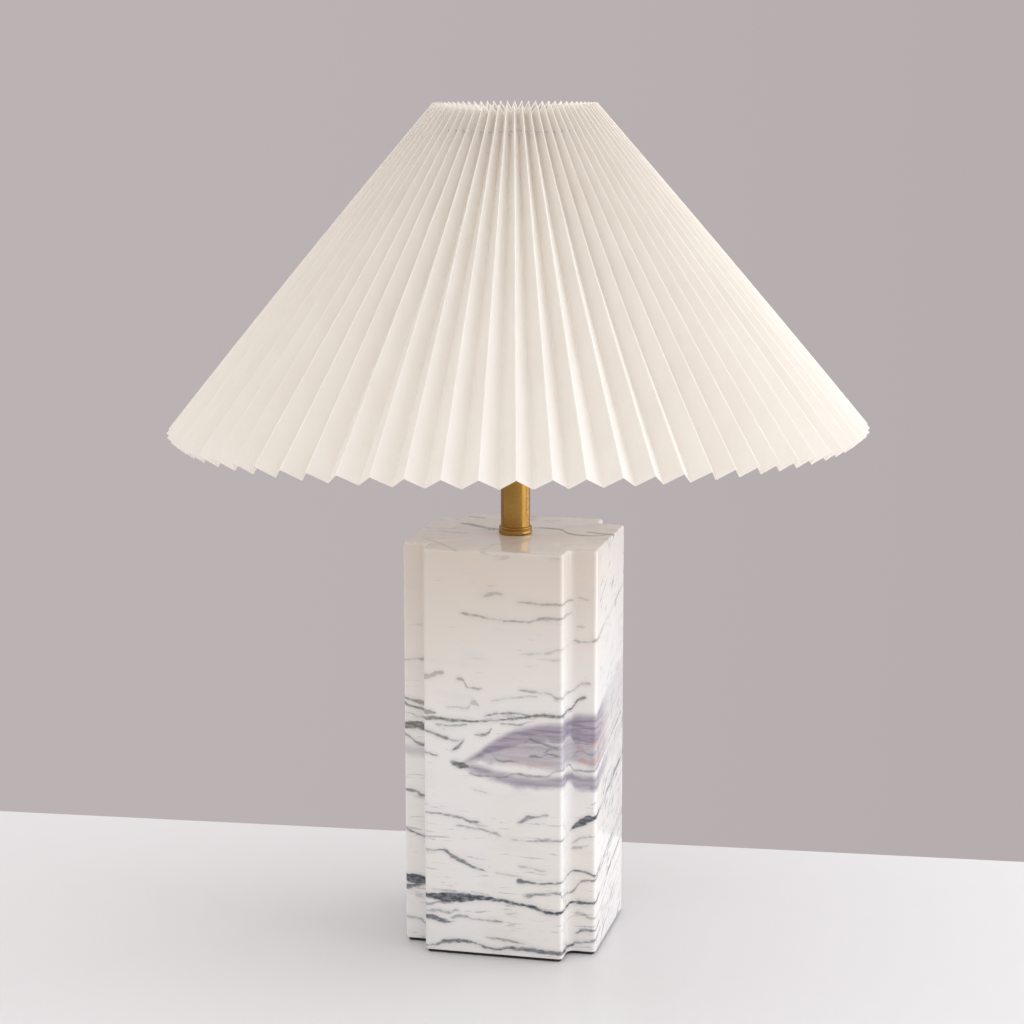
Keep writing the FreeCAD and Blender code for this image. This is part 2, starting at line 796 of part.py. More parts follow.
# ---------------------------------------------------------------- pleated shade
def on_rim(rim_radius, rim_level, line_low, line_high):
    """Point (radius, level) where a fold line meets a rim cut square to the shade's slope."""
    slope = value(SLOPE)
    (low_radius, low_level), (high_radius, high_level) = line_low, line_high
    lean = (high_radius - low_radius) / (high_level - low_level)
    drop = (rim_radius - low_radius) * slope + lean * slope * low_level
    level = (rim_level - drop) / (1 - lean * slope)
    return low_radius + lean * (level - low_level), level


def fold_lines():
    """Each fold line from low to high, as (radius, level) pairs, in section_at's order."""
    low, high = (
        [(value(radius), value(level)) for radius in section_at(level)]
        for level in ("shade_rim_height", SHADE_TOP)
    )
    return list(zip(low, high))


def pleat_shell_points():
    """Corners of every panel on both rims, as {(face, rim, fold number): point}."""
    rims = {
        "bottom": (value("shade_bottom_radius"), value("shade_rim_height")),
        "top": (value("shade_top_radius"), value(SHADE_TOP)),
    }
    outer_ridge, outer_valley, inner_ridge, inner_valley = fold_lines()
    folds = {"outer": (outer_ridge, outer_valley), "inner": (inner_ridge, inner_valley)}
    count = round(value("pleat_count"))
    half_pitch = value(HALF_PITCH)
    points = {}
    for number in range(2 * count):
        turn = FreeCAD.Rotation(FreeCAD.Vector(0, 0, 1), number * half_pitch + value("pleat_phase"))
        for face, lines in folds.items():
            line = lines[number % 2]
            for rim, (rim_radius, rim_level) in rims.items():
                radius, level = on_rim(rim_radius, rim_level, *line)
                points[face, rim, number] = turn.multVec(FreeCAD.Vector(radius, 0, level))
    return points, 2 * count


def flat_pair(corners):
    """Two triangles that fill a slightly twisted four-sided panel."""
    first, second, third, fourth = corners
    return [flat_panel([first, second, third]), flat_panel([first, third, fourth])]


def make_pleated_shade():
    """Accordion pleats round a cone, with both rims cut square to the slope. A panel is a
    little twisted, because the pleats are nearly as deep at the top as at the bottom, so it
    is two flat triangles."""
    points, folds = pleat_shell_points()
    panels = []
    for number in range(folds):
        following = (number + 1) % folds
        # a panel's diagonal starts at the ridge at the bottom
        ridge, valley = (number, following) if number % 2 == 0 else (following, number)
        for face in ("outer", "inner"):
            corners = [(face, "bottom", ridge), (face, "bottom", valley)]
            corners += [(face, "top", valley), (face, "top", ridge)]
            panels += flat_pair([points[corner] for corner in corners])
        for rim in ("bottom", "top"):
            corners = [("outer", rim, ridge), ("outer", rim, valley)]
            corners += [("inner", rim, valley), ("inner", rim, ridge)]
            panels += flat_pair([points[corner] for corner in corners])
    panel_solid("pleated_shade", panels)


make_marble_column()
make_base_pad()
make_cord_inlet()
make_stem()
make_load_plate()
make_lock_washer()
make_stem_nut()
make_neck_collar()
make_neck_tube()
make_socket_cap()
make_socket_shell()
make_socket_core()
make_screw_shell()
make_centre_contact()
make_switch_shaft()
make_switch_knob()
make_bulb_cap()
make_disc("bulb_insulator", BULB_NECK_RADIUS, BULB_CAP_BOTTOM, "bulb_insulator_height")
make_disc("bulb_tip", "bulb_tip_radius", CONTACT_TOP, "bulb_tip_height")
make_bulb_walls()
make_fitter_ring()
make_clamp_ring()
make_shade_ring()
make_carrier_arms()
make_pleated_shade()
doc.recompute()

# ---------------------------------------------------------------- checks and files
failed = [item.Label for item in doc.Objects if {"Invalid", "Error"} & set(item.State)]
if failed:
    raise RuntimeError(f"failed: {failed}")
os.makedirs("parts", exist_ok=True)
for body in bodies:
    shape = body.Shape
    if shape.isNull() or not shape.isValid() or shape.Volume <= 0:
        raise RuntimeError(f"{body.Label} has no valid solid")
    box = shape.BoundBox
    print(
        f"{body.Label}: {len(shape.Solids)} solid(s), {shape.Volume:.1f} mm3,"
        f" z {box.ZMin:.2f} to {box.ZMax:.2f}, x {box.XMin:.2f} to {box.XMax:.2f}"
    )
    shape.exportStep(os.path.join("parts", f"{body.Label}.step"))
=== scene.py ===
import math
import random

import bpy
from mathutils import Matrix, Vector


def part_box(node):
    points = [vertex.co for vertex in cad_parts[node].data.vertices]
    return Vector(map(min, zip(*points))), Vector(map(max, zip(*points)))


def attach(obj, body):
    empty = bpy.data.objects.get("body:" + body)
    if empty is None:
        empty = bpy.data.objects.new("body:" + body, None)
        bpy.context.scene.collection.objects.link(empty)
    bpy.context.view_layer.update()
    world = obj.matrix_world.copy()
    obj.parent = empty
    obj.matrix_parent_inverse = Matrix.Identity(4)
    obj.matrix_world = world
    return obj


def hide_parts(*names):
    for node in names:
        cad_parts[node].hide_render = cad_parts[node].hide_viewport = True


# Looks of a column table lamp: veined marble column, brass neck, pleated cone shade.
# Sizes are in millimetres, as in the frame's drawing, and turn into metres in new_piece().
# X is to the right, -Y to the front and Z up, with the origin under the column's centre.

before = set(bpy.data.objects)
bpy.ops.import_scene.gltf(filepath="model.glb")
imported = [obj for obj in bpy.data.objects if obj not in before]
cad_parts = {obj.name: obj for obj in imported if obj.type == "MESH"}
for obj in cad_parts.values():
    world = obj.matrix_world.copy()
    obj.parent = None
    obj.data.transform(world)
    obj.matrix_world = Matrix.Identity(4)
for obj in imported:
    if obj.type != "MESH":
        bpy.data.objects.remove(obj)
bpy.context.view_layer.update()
MM = 0.001
TURN = 2 * math.pi

# ------ sizes
# Column on its pad: a square with a notch in each upright corner.
COLUMN_HALF = 63.5
COLUMN_HEIGHT = 265.0
NOTCH = 18.0
ARRIS = 3.0
NOTCH_FILLET = 6.0
TOP_EASE = 1.6
FOOT_EASE = 0.8
PAD_THICKNESS = 2.0
PAD_INSET = 1.5
COLUMN_TOP = PAD_THICKNESS + COLUMN_HEIGHT
# Recess for the stem's fixings, bore for the stem, and inlet at the back.
RECESS_RADIUS = 34.0
RECESS_TOP = 32.0
STEM_BORE = 7.0
INLET_LEVEL = 17.0
INLET_BORE = 5.1
BUSH_BORE = 3.5
BUSH_RADIUS = 5.0
BUSH_FLANGE = 7.5
BUSH_START = 47.5
BUSH_END = 65.1
# Brass neck.
TUBE_RADIUS = 9.525
TUBE_BORE = 8.325
TUBE_BOTTOM = COLUMN_TOP + 2.0
TUBE_TOP = TUBE_BOTTOM + 111.0
# Lampholder: a cap on the tube, and a shell that narrows at a shoulder to its thread.
HOLDER_RADIUS = 18.6
CAP_BORE = 5.2
CAP_FLOOR = 5.0
CAP_INSIDE = 16.6
SHELL_BOTTOM = TUBE_TOP + 16.0
SHELL_BORE = 15.2
SHOULDER = SHELL_BOTTOM + 26.8
SHELL_TOP = SHELL_BOTTOM + 39.8
THREAD_RADIUS = 17.2
THREAD_START = 430.4
THREAD_PITCH = 2.0
# Turn knob, on a shaft that leaves the shell through a slot.
SHAFT_LEVEL = 399.0
SLOT_HALF = 2.6
KNOB_START = 19.6
KNOB_FLAT = 2.1
KNOB_GRIP = 4.6
KNOB_WAIST = 3.2
# Bulb: a globe that flares in to the neck in its screw cap.
BULB_CENTRE = 485.0
BULB_RADIUS = 30.0
BULB_NECK = 12.65
BULB_FLARE = 52.0
BULB_WALL = 0.9
HOUSING_BOTTOM = 424.4
DOME_TOP = 513.9
BULB_CAP_BOTTOM = 408.4
BULB_CAP_TOP = 432.4
BULB_THREAD = (409.4, 431.0)
BULB_PITCHES = 6
# Wire carrier of the shade.
FITTER_BORE = 17.4
FITTER_RADIUS = 22.5
FITTER_TOP = SHOULDER + 1.5
CLAMP_RADIUS = 20.6
WIRE = 1.5
RING_LEVEL = 528.2
ARM_COUNT = 3
ARM_REACH = 40.0
ARM_BEND = 9.0
# Shade: fold lines run between (radius, height) at the lower and at the upper rim.
FOLDS = 144
RIDGE = ((225.0, 338.5), (52.0, 543.7))
VALLEY = ((217.3, 332.0), (45.9, 538.5))
CLOTH = 0.45
FOLD_STEPS = 26
FOLD_TIP = 0.35
BULGE = 1.2
# The folds wander along the rim by this many degrees, as a constant and cosine, sine pairs.
FOLD_DRIFT = (2.12, -0.24, -1.87, -0.92, -0.75, -0.68, 0.13, -0.14, 0.3)
# The lower rim rises and dips by this many millimetres, and hangs off centre to the right.
RIM_DRIFT = (0.1, 1.53, -0.83, -0.54, -0.38, -0.01, 0.21)
RIM_SHIFT = 1.8
UNEVEN = 0.25
# Thread that runs round through the folds.
STITCH_RADIUS = 61.0
STITCH_LEVEL = 527.6
STITCH_THREAD = 0.32


# ------ meshes
def new_piece(name, points, faces, look, body, replaces=(), smooth=38):
    """Object with one material that rides on a body; edges sharper than smooth stay crisp."""
    mesh = bpy.data.meshes.new(name)
    mesh.from_pydata([Vector(point) * MM for point in points], [], faces)
    mesh.materials.append(look.material)
    mesh.shade_smooth()
    mesh.set_sharp_from_angle(angle=math.radians(smooth))
    piece = bpy.data.objects.new(name, mesh)
    bpy.context.scene.collection.objects.link(piece)
    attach(piece, body)
    if replaces:
        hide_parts(*replaces)
    return piece


def skin(rows, ring=False, caps=True):
    """Points and faces that join closed rows of points, one row after another."""
    size = len(rows[0])
    points = [point for row in rows for point in row]
    faces = []
    for number in range(len(rows) - (not ring)):
        low, high = number * size, (number + 1) % len(rows) * size
        for step in range(size):
            after = (step + 1) % size
            faces.append((low + step, low + after, high + after, high + step))
    if caps and not ring:
        faces.append(tuple(reversed(range(size))))
        faces.append(tuple(range(len(points) - size, len(points))))
    return points, faces


def join(*parts):
    """One set of points and faces from several."""
    points, faces = [], []
    for part_points, part_faces in parts:
        faces += [tuple(index + len(points) for index in face) for face in part_faces]
        points += part_points
    return points, faces


def turned(profile, steps=96, ring=True):
    """Rows of a profile of (radius, height) turned round Z. A ring's profile is closed."""
    rows = [
        [
            (radius * math.cos(TURN * step / steps), radius * math.sin(TURN * step / steps), height)
            for step in range(steps)
        ]
        for radius, height in profile
    ]
    return skin(rows, ring)


def raised(level, corners):
    """Corners (across, up, fillet) moved up to a level."""
    return [(across, level + up, fillet) for across, up, fillet in corners]


def softened(corners, closed=True, steps=4):
    """Profile whose corners (across, up, fillet) are rounded by arcs near each fillet's size."""
    profile = []
    count = len(corners)
    for index, (across, up, fillet) in enumerate(corners):
        inside = closed or 0 < index < count - 1
        if not fillet or not inside:
            profile.append((across, up))
            continue
        corner = Vector((across, up))
        before = Vector(corners[index - 1][:2]) - corner
        after = Vector(corners[(index + 1) % count][:2]) - corner
        reach = min(fillet, before.length * 0.48, after.length * 0.48)
        start = corner + before.normalized() * reach
        end = corner + after.normalized() * reach
        for step in range(steps + 1):
            share = step / steps
            point = start.lerp(corner, share).lerp(corner.lerp(end, share), share)
            profile.append(tuple(point))
    return profile


def swept(path, radius, sides=16, closed=False):
    """Round wire along a path of points."""
    path = [Vector(point) for point in path]
    count = len(path)
    rows = []
    side = None
    for index, place in enumerate(path):
        if closed:
            way = path[(index + 1) % count] - path[index - 1]
        else:
            way = path[min(index + 1, count - 1)] - path[max(index - 1, 0)]
        way.normalize()
        if side is None:
            side = way.orthogonal().normalized()
        side = (side - way * side.dot(way)).normalized()
        up = way.cross(side)
        turns = [TURN * step / sides for step in range(sides)]
        rows.append([place + (side * math.cos(a) + up * math.sin(a)) * radius for a in turns])
    return skin(rows, ring=closed)


def helix(radius, start, end, pitch, steps=48):
    """Points of a screw thread's line."""
    turns = (end - start) / pitch
    count = round(turns * steps)
    return [
        (
            radius * math.cos(TURN * turns * index / count),
            radius * math.sin(TURN * turns * index / count),
            start + (end - start) * index / count,
        )
        for index in range(count + 1)
    ]


def settle(piece, smooth=38):
    """Apply a piece's modifiers to its mesh."""
    graph = bpy.context.evaluated_depsgraph_get()
    result = bpy.data.meshes.new_from_object(piece.evaluated_get(graph))
    piece.modifiers.clear()
    piece.data = result
    result.set_sharp_from_angle(angle=math.radians(smooth))


def cut(piece, *cutters):
    """Take the cutters' closed meshes out of a piece for good."""
    for number, (points, faces) in enumerate(cutters):
        mesh = bpy.data.meshes.new(f"cutter_{number}")
        mesh.from_pydata([Vector(point) * MM for point in points], [], faces)
        tool = bpy.data.objects.new(f"cutter_{number}", mesh)
        bpy.context.scene.collection.objects.link(tool)
        modifier = piece.modifiers.new("cut", "BOOLEAN")
        modifier.object = tool
        modifier.operation = "DIFFERENCE"
        settle(piece)
        bpy.data.objects.remove(tool)


# ------ materials
class Look:
    """A material with short calls that add nodes to it."""

    def __init__(self, name, **surface):
        self.material = bpy.data.materials.new(name)
        self.material.use_nodes = True
        self.slot = name
        self.tree = self.material.node_tree
        self.shader = self.tree.nodes["Principled BSDF"]
        self.output = self.tree.nodes["Material Output"]
        self.place = self.add("TexCoord")["Object"]
        self.surface(**surface)

    def add(self, kind, inputs=None, **settings):
        """New node; an input is a number, a colour or another node's output."""
        node = self.tree.nodes.new("ShaderNode" + kind)
        for name, setting in settings.items():
            setattr(node, name, setting)
        for name, source in (inputs or {}).items():
            self.feed(node.inputs[name], source)
        return node.outputs

    def feed(self, socket, source):
        if isinstance(source, bpy.types.NodeSocket):
            self.tree.links.new(source, socket)
        else:
            socket.default_value = source

    def surface(self, **values):
        """Set the shader's sockets by name, with _ for a space."""
        for name, source in values.items():
            title = name.replace("_", " ").title().replace("Ior", "IOR")
            self.feed(self.shader.inputs[title], source)

    def math(self, operation, *sources):
        return self.add("Math", dict(enumerate(sources)), operation=operation)[0]

    def stretched(self, *scale):
        """Place in the object, scaled along each axis (features per metre)."""
        return self.add("VectorMath", {0: self.place, 1: scale}, operation="MULTIPLY")[0]

    def noise(self, scale=1.0, detail=3.0, roughness=0.5, place=None, distortion=0.0):
        inputs = {"Vector": place or self.place, "Scale": scale, "Detail": detail}
        inputs |= {"Roughness": roughness, "Distortion": distortion}
        return self.add("TexNoise", inputs)["Fac"]

    def between(self, source, low, high, start=0.0, end=1.0):
        """Source from low to high, spread over start to end and held there outside."""
        inputs = {"Value": source, "From Min": low, "From Max": high}
        inputs |= {"To Min": start, "To Max": end}
        return self.add("MapRange", inputs, interpolation_type="SMOOTHSTEP")["Result"]

    def blend(self, share, first, second):
        """Colour between two colours."""
        node = self.tree.nodes.new("ShaderNodeMix")
        node.data_type = "RGBA"
        self.feed(node.inputs[0], share)
        self.feed(node.inputs[6], (*first, 1.0) if isinstance(first, tuple) else first)
        self.feed(node.inputs[7], (*second, 1.0) if isinstance(second, tuple) else second)
        return node.outputs[2]

    def bump(self, height, depth, strength=1.0):
        """Fine relief of that depth in millimetres."""
        inputs = {"Height": height, "Distance": depth * MM, "Strength": strength}
        self.surface(normal=self.add("Bump", inputs)["Normal"])

    def on_nodes(self, *names):
        """Give this material to frame nodes whose own shape stays."""
        for name in names:
            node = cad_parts[name]
            node.data.materials.clear()
            node.data.materials.append(self.material)


def curve_points(node, points):
    """Set a Float Curve node's line."""
    line = node.mapping.curves[0]
    while len(line.points) < len(points):
        line.points.new(0.5, 0.5)
    for point, place in zip(line.points, points):
        point.location = place
        point.handle_type = "AUTO_CLAMPED"
    node.mapping.update()


# Veins on the column's front: how dark, then places (across, height, half width). A half width
# of 0 ends a stretch.
VEINS = (
    (0.5, ((12, 235, 0), (19, 235.5, 0.5), (32, 235, 0.8), (46, 235, 0.9), (50, 234, 0))),
    (0.25, ((48, 236, 0), (53, 236, 0.8), (58, 235, 0.5), (62, 235, 0))),
    (0.55, ((-24, 228, 0), (-17, 226.5, 0.9), (-9, 225, 0.8), (-3, 224, 0.6), (3, 223.5, 0.1),
        (9, 223, 0.6), (22, 223, 0.5), (26, 224, 0.4), (31, 225.5, 0.9), (40, 226, 1.0),
        (46, 226.5, 0.7), (50, 227, 0))),
    (0.35, ((-9, 238, 0), (-3, 239, 1.2), (4, 240, 0.9), (10, 240, 0))),
    (0.22, ((-6, 245, 0), (-1, 245, 0.9), (5, 245, 0))),
    (0.22, ((-10, 267, 0), (-6, 266, 0.8), (0, 265, 0.2), (8, 264, 0.8), (14, 264, 0))),
    (0.18, ((34, 263, 0), (40, 264, 0.9), (46, 264, 0))),
    (0.3, ((14, 200, 0), (22, 202, 0.5), (31, 203, 0.4), (38, 204.5, 0.9), (45, 206, 0.5),
        (48, 206, 0))),
    (0.22, ((26, 199, 0), (33, 199.5, 0.6), (42, 199.5, 0.7), (46, 199, 0))),
    (0.55, ((46, 208, 0), (49, 208.5, 0.4), (51, 208, 1.1), (54, 207.5, 0.5), (60, 208, 0.6),
        (62, 208.5, 1.1), (64, 209, 0.6))),
    (0.25, ((49, 217, 0), (53, 218, 1.1), (58, 217, 0))),
    (0.45, ((-64, 190, 0.6), (-57, 190.5, 0.5), (-54, 191, 0.2), (-50, 191, 1.3), (-47, 191, 0))),
    (0.45, ((-49, 183, 0), (-46, 184, 1.3), (-40, 185, 1.6), (-33, 187, 1.1), (-30, 187, 0))),
    (0.5, ((-26, 183, 0), (-22, 184, 1.1), (-18, 181, 1.2), (-15, 178, 0.3), (-12, 178, 0.9),
        (-8, 178, 0.7), (-5, 178, 0))),
    (0.5, ((14, 178, 0), (19, 179, 0.7), (26, 178, 1.0), (32, 178, 0.4), (38, 177, 0.5),
        (44, 175, 1.0), (48, 176, 0.4), (52, 179, 0.6), (58, 181, 1.0), (61, 181, 0))),
    (0.35, ((-34, 164, 0), (-28, 165, 0.5), (-18, 165, 0.6), (-15, 166, 1.0), (-13, 169, 1.8),
        (-10, 168, 1.1), (-7, 166, 0))),
    (0.4, ((-4, 170, 0), (2, 171, 0.5), (9, 173, 0.3), (15, 174, 0.6), (28, 175, 0.5),
        (32, 175, 0))),
    (0.7, ((-64, 165, 0.9), (-56, 163, 1.2), (-50, 161.5, 1.6), (-46, 161, 1.5), (-38, 160.5, 1.2),
        (-34, 160, 0), (-10, 160, 0), (-4, 161, 0.7), (4, 162.5, 0.6), (10, 163, 0.9),
        (18, 163.5, 0.9), (26, 162.5, 1.1), (34, 162.5, 0.6), (46, 162, 0.5), (50, 162, 0))),
    (0.9, ((-64, 161, 1.2), (-54, 158, 0.9), (-46, 157, 1.4), (-34, 157, 1.3), (-20, 156.5, 1.1),
        (-8, 157, 0.7), (4, 158.5, 0.6), (14, 160, 0.8), (24, 162, 0.9), (34, 163, 1.0),
        (43, 163, 1.1), (46, 163.5, 1.0), (50, 168, 0.8), (54, 171, 1.1), (57, 171.5, 0.3),
        (59, 171.5, 0))),
    (0.55, ((-40, 153.5, 0), (-35, 153, 0.9), (-25, 153, 0.7), (-18, 154, 0.9), (-13, 155, 0),
        (0, 156, 0), (6, 156, 0.8), (16, 156, 0.9), (22, 158, 0.6), (32, 160, 0))),
    (0.4, ((-12, 158.5, 0), (-2, 159, 0.4), (6, 161, 0.4), (18, 161.5, 0.6), (26, 161, 0.4),
        (36, 162, 0))),
    (0.8, ((-48, 150, 0), (-44, 148.5, 0.6), (-36, 146, 1.0), (-31, 144.5, 1.3), (-28, 144, 0.4),
        (-24, 143, 0.3), (-21, 143, 0.2), (-18, 142, 0))),
    (0.75, ((-30, 135, 0), (-26, 137, 0.7), (-22, 140, 1.6), (-19.5, 143, 0.9), (-17, 145, 0))),
    (0.75, ((-14, 148, 0), (-10, 148, 0.6), (-3, 149.5, 1.3), (-1, 152, 0.6), (1, 154, 0))),
    (0.5, ((-64, 154, 0.6), (-58, 154, 0.3), (-55, 152, 0.6), (-50, 152, 0.8), (-47, 151, 0))),
    (0.95, ((-64, 145, 2.0), (-58, 146.5, 2.6), (-50, 146, 2.6), (-47, 145, 1.0), (-45, 145, 0))),
    (0.8, ((-64, 141, 0.9), (-58, 138, 0.6), (-50, 134, 1.5), (-45, 134, 0.6), (-38, 132.5, 0.5),
        (-34, 132, 0))),
    (0.95, ((-30, 130, 0), (-26, 128, 1.3), (-22, 127.5, 2.0), (-17, 127, 1.2), (-14, 125, 0))),
    (0.55, ((-18, 123.5, 0), (-14, 122, 0.9), (-4, 121, 0.7), (8, 121.5, 0.6), (16, 124, 0.7),
        (24, 122.8, 1.0), (33, 123, 0.8), (40, 126.5, 0.7), (46, 127.5, 0.8), (49, 123, 0.8),
        (56, 123, 1.0), (64, 124, 1.0))),
    (0.3, ((-17, 112, 0), (-12, 111.5, 0.6), (-4, 110, 0.4), (2, 109, 0))),
    (0.75, ((-64, 103, 0.5), (-58, 103, 1.2), (-50, 100, 1.1), (-46, 100, 0.6), (-38, 98, 0))),
    (0.65, ((-50, 94.5, 0), (-44, 94.5, 0.5), (-30, 93, 0.7), (-20, 92, 0.9), (-13, 90, 1.1),
        (-9, 90, 0.4), (-6, 90, 0))),
    (0.7, ((14, 91, 0), (18, 92, 1.3), (23, 95, 1.7), (29, 96, 0.6), (35, 97.5, 0.8), (38, 98, 0))),
    (0.5, ((-28, 85, 0), (-22, 87, 0.7), (-16, 86, 0.6), (-6, 85, 0.8), (2, 83, 0.9), (8, 81, 0))),
    (0.6, ((8, 79, 0), (14, 80, 0.3), (24, 80, 0.4), (32, 81, 1.0), (40, 81, 0.9), (45, 81, 0.5),
        (48, 84, 0))),
    (1.0, ((46, 83, 0), (48, 85, 0.8), (52, 88, 2.3), (56, 90, 2.8), (61, 92, 2.0),
        (64, 92.5, 1.4))),
    (0.4, ((46, 74, 0), (50, 76, 0.8), (56, 79, 0.6), (64, 80, 0.4))),
    (0.45, ((46, 72, 0), (49, 72, 0.9), (56, 73, 0.6), (61, 75, 0))),
    (0.75, ((-64, 77, 0.6), (-56, 74, 0.8), (-48, 71, 0.7), (-40, 69, 0.4), (-34, 70, 0.6),
        (-28, 67, 1.5), (-20, 63.5, 1.4), (-12, 60, 1.0), (-6, 58, 0.3), (-2, 57, 0))),
    (0.35, ((-2, 58, 0), (4, 57, 0.6), (12, 56, 0.6), (18, 55.5, 0.4), (22, 55, 0))),
    (0.35, ((14, 63, 0), (19, 62.5, 1.1), (24, 62, 0.4), (32, 61, 0.7), (40, 60, 0))),
    (0.85, ((14, 52, 0), (17.5, 52.5, 1.5), (22, 52.5, 0.9), (30, 52, 0.7), (40, 52.5, 0.6),
        (46, 54, 0.4), (50, 56, 0.7), (56, 55.5, 0.8), (64, 53, 0.9))),
    (0.7, ((18, 43, 0), (23, 43, 1.1), (28, 44.5, 0.6), (36, 45.5, 0.6), (44, 46, 0.7),
        (46, 42, 0.4), (49, 43, 0.8), (53, 48, 0.7), (58, 50, 0.7), (64, 50.5, 0.8))),
    (0.35, ((-20, 44, 0), (-12, 43, 0.5), (-4, 42, 0.6), (4, 41, 0))),
    (0.4, ((-46, 44, 0), (-38, 43, 0.4), (-28, 43, 0.8), (-22, 42, 0.4), (-16, 42, 0))),
    (1.0, ((-64, 43, 2.6), (-56, 42.5, 3.2), (-50, 42, 2.6), (-46, 39, 1.6), (-38, 38, 2.6),
        (-26, 38.5, 3.3), (-16, 39, 2.7), (-6, 39.5, 1.7), (4, 39, 1.2), (14, 37.5, 0.9),
        (24, 36.5, 1.1), (34, 34, 1.2), (44, 33, 1.1), (48, 35, 0.9), (54, 35, 1.0),
        (64, 35.5, 1.0))),
    (0.9, ((-64, 37, 1.6), (-58, 38, 1.4), (-52, 39, 0.6), (-48, 40, 0))),
    (0.6, ((-50, 33, 0), (-46, 32, 0.6), (-38, 34, 0.9), (-30, 35, 1.0), (-24, 34, 0))),
    (0.5, ((-46, 29, 0), (-38, 29, 0.7), (-29, 28, 0.9), (-24, 30, 0.8), (-20, 30, 0))),
    (0.85, ((-50, 25, 0), (-46, 24.5, 1.4), (-40, 24, 1.9), (-34, 22.5, 1.5), (-29, 22, 0.6),
        (-24, 22, 0))),
    (0.55, ((-30, 24, 0), (-26, 25, 1.1), (-20, 26, 0.9), (-12, 25, 0.3), (-6, 25, 0.7),
        (4, 25, 0.9), (8, 25, 0))),
    (0.35, ((6, 31, 0), (10, 30.5, 0.9), (15, 31, 0.4), (19, 31, 0))),
    (0.35, ((48, 27, 0), (52, 28, 1.3), (58, 26, 1.1), (64, 25, 0.8))),
    (0.5, ((-64, 16, 0.8), (-58, 16, 0.9), (-50, 13, 1.0), (-46, 12, 0))),
    (0.75, ((48, 14, 0), (52, 15, 0.8), (57, 17, 1.0), (64, 16, 0.7))),
    (0.55, ((-8, 13, 0), (-2, 13, 0.6), (6, 12.5, 0.9), (12, 12, 1.1), (20, 11.5, 0.5),
        (28, 11, 0))),
    (0.85, ((-46, 4, 0.4), (-38, 6, 0.9), (-30, 8.5, 1.5), (-20, 9, 1.2), (-10, 8, 0.9),
        (0, 6, 0.8), (10, 7.5, 1.0), (20, 7.5, 1.5), (30, 6.5, 1.7), (40, 6, 1.6), (46, 6, 1.4),
        (50, 8, 0.8), (56, 9, 0.7), (64, 10, 0.6))),
)
# The same for the column's top, with depth in place of height.
TOP_VEINS = (
    (0.8, ((-46, 26, 0), (-42, 25, 1.6), (-28, 17, 3.6), (-12, 9.6, 3.0), (-4, 11, 0.4),
        (6, 18, 0.6), (14, 21, 1.8), (24, 19, 2.0), (36, 5, 1.6), (47, 2, 1.2), (61, 7.6, 1.2),
        (64, 8, 1))),
    (0.6, ((42, 14, 0), (48, 13, 2.0), (60, 10, 1.8), (64, 10, 1.5))),
    (0.5, ((-52, 53, 0), (-48, 52, 1.6), (-37, 48, 1.8), (-28, 46, 0))),
    (0.2, ((-56, -28, 0), (-52, -32, 1.4), (-39, -44, 2.0), (-25, -62, 1.6))),
)
# Soft mauve bands in the column's middle that close round a paler heart.
STAINS = (
    (1.0, ((-24, 128, 0), (-15, 131, 1.5), (4, 142, 5.0), (24, 149, 6.5), (46, 152, 6.5),
        (50, 150, 10.5), (64, 150, 11))),
    (0.9, ((-22, 127, 0), (-13, 126, 2.0), (6, 121, 3.0), (26, 119, 3.0), (46, 120, 3.6),
        (50, 116, 5.0), (64, 115, 5.0))),
    (0.7, ((-16, 131, 0), (-2, 134, 4.0), (20, 137, 8.0), (46, 137, 9.0), (64, 133, 9.0))),
    (0.45, ((-64, 130, 3.0), (-50, 129, 3.0), (-46, 128, 0))),
)
# Dark and rusty threads in the mauve.
THREADS = (
    (0.6, ((21, 148, 0), (25, 147, 0.7), (32, 145, 0.9), (42, 141.5, 0.7), (47, 140, 0))),
    (0.6, ((-2, 137, 0), (1.5, 134, 0.6), (6, 131.5, 0.9), (12, 132, 0.7), (19, 132, 0))),
    (0.65, ((21, 135, 0), (24, 135.5, 0.7), (27, 136, 1.2), (30, 135.5, 0.6), (36, 138, 0.5),
        (42, 137, 0.7), (47, 137, 0))),
    (0.5, ((31, 138, 0), (34, 139, 0.6), (37, 141, 0.8), (42, 143, 0.6), (46, 143, 0))),
    (0.4, ((47, 131, 0), (50, 134, 0.7), (54, 136, 0.6), (59, 134, 0.6), (64, 137, 0.8))),
)
RUST = (
    (0.6, ((8, 132.5, 0), (12, 132.3, 1.0), (15, 131.8, 0.8), (19, 131.5, 0))),
    (0.4, ((18, 129.5, 0), (24, 130, 1.3), (30, 129.6, 0.8), (36, 131.2, 1.2), (42, 131, 0))),
    (0.7, ((49, 139, 0), (53, 138.4, 1.3), (56, 137, 0.3), (60, 140, 0.5), (62.6, 141, 1.4),
        (64, 141, 1))),
    (0.65, ((50, 130, 0), (55, 129.8, 1.8), (59, 128.6, 1.1), (62, 129, 1.8), (64, 129, 1.2))),
)
# The tables run from -HALF_SPAN to HALF_SPAN across the column.
HALF_SPAN = 64
# Half width beyond a stretch's ends, well below that of any vein.
NONE = -4

CLEAR_STONE, WARM_STONE = (0.835, 0.805, 0.785), (0.82, 0.775, 0.73)
# The cream tone below is painted shade: how the lampshade darkens and warms the top of the front.
SHADED_CREAM, CLOUD_GREY = (0.775, 0.69, 0.61), (0.66, 0.66, 0.675)
MAUVE_DEEP, MAUVE_PALE = (0.26, 0.225, 0.29), (0.41, 0.36, 0.415)
RUST_TONE, THREAD_TONE = (0.55, 0.33, 0.27), (0.15, 0.14, 0.17)
VEIN_NAVY, VEIN_OLIVE = (0.05, 0.06, 0.08), (0.135, 0.13, 0.105)
HALO_TONE, WISP_TONE = (0.40, 0.41, 0.44), (0.25, 0.27, 0.34)
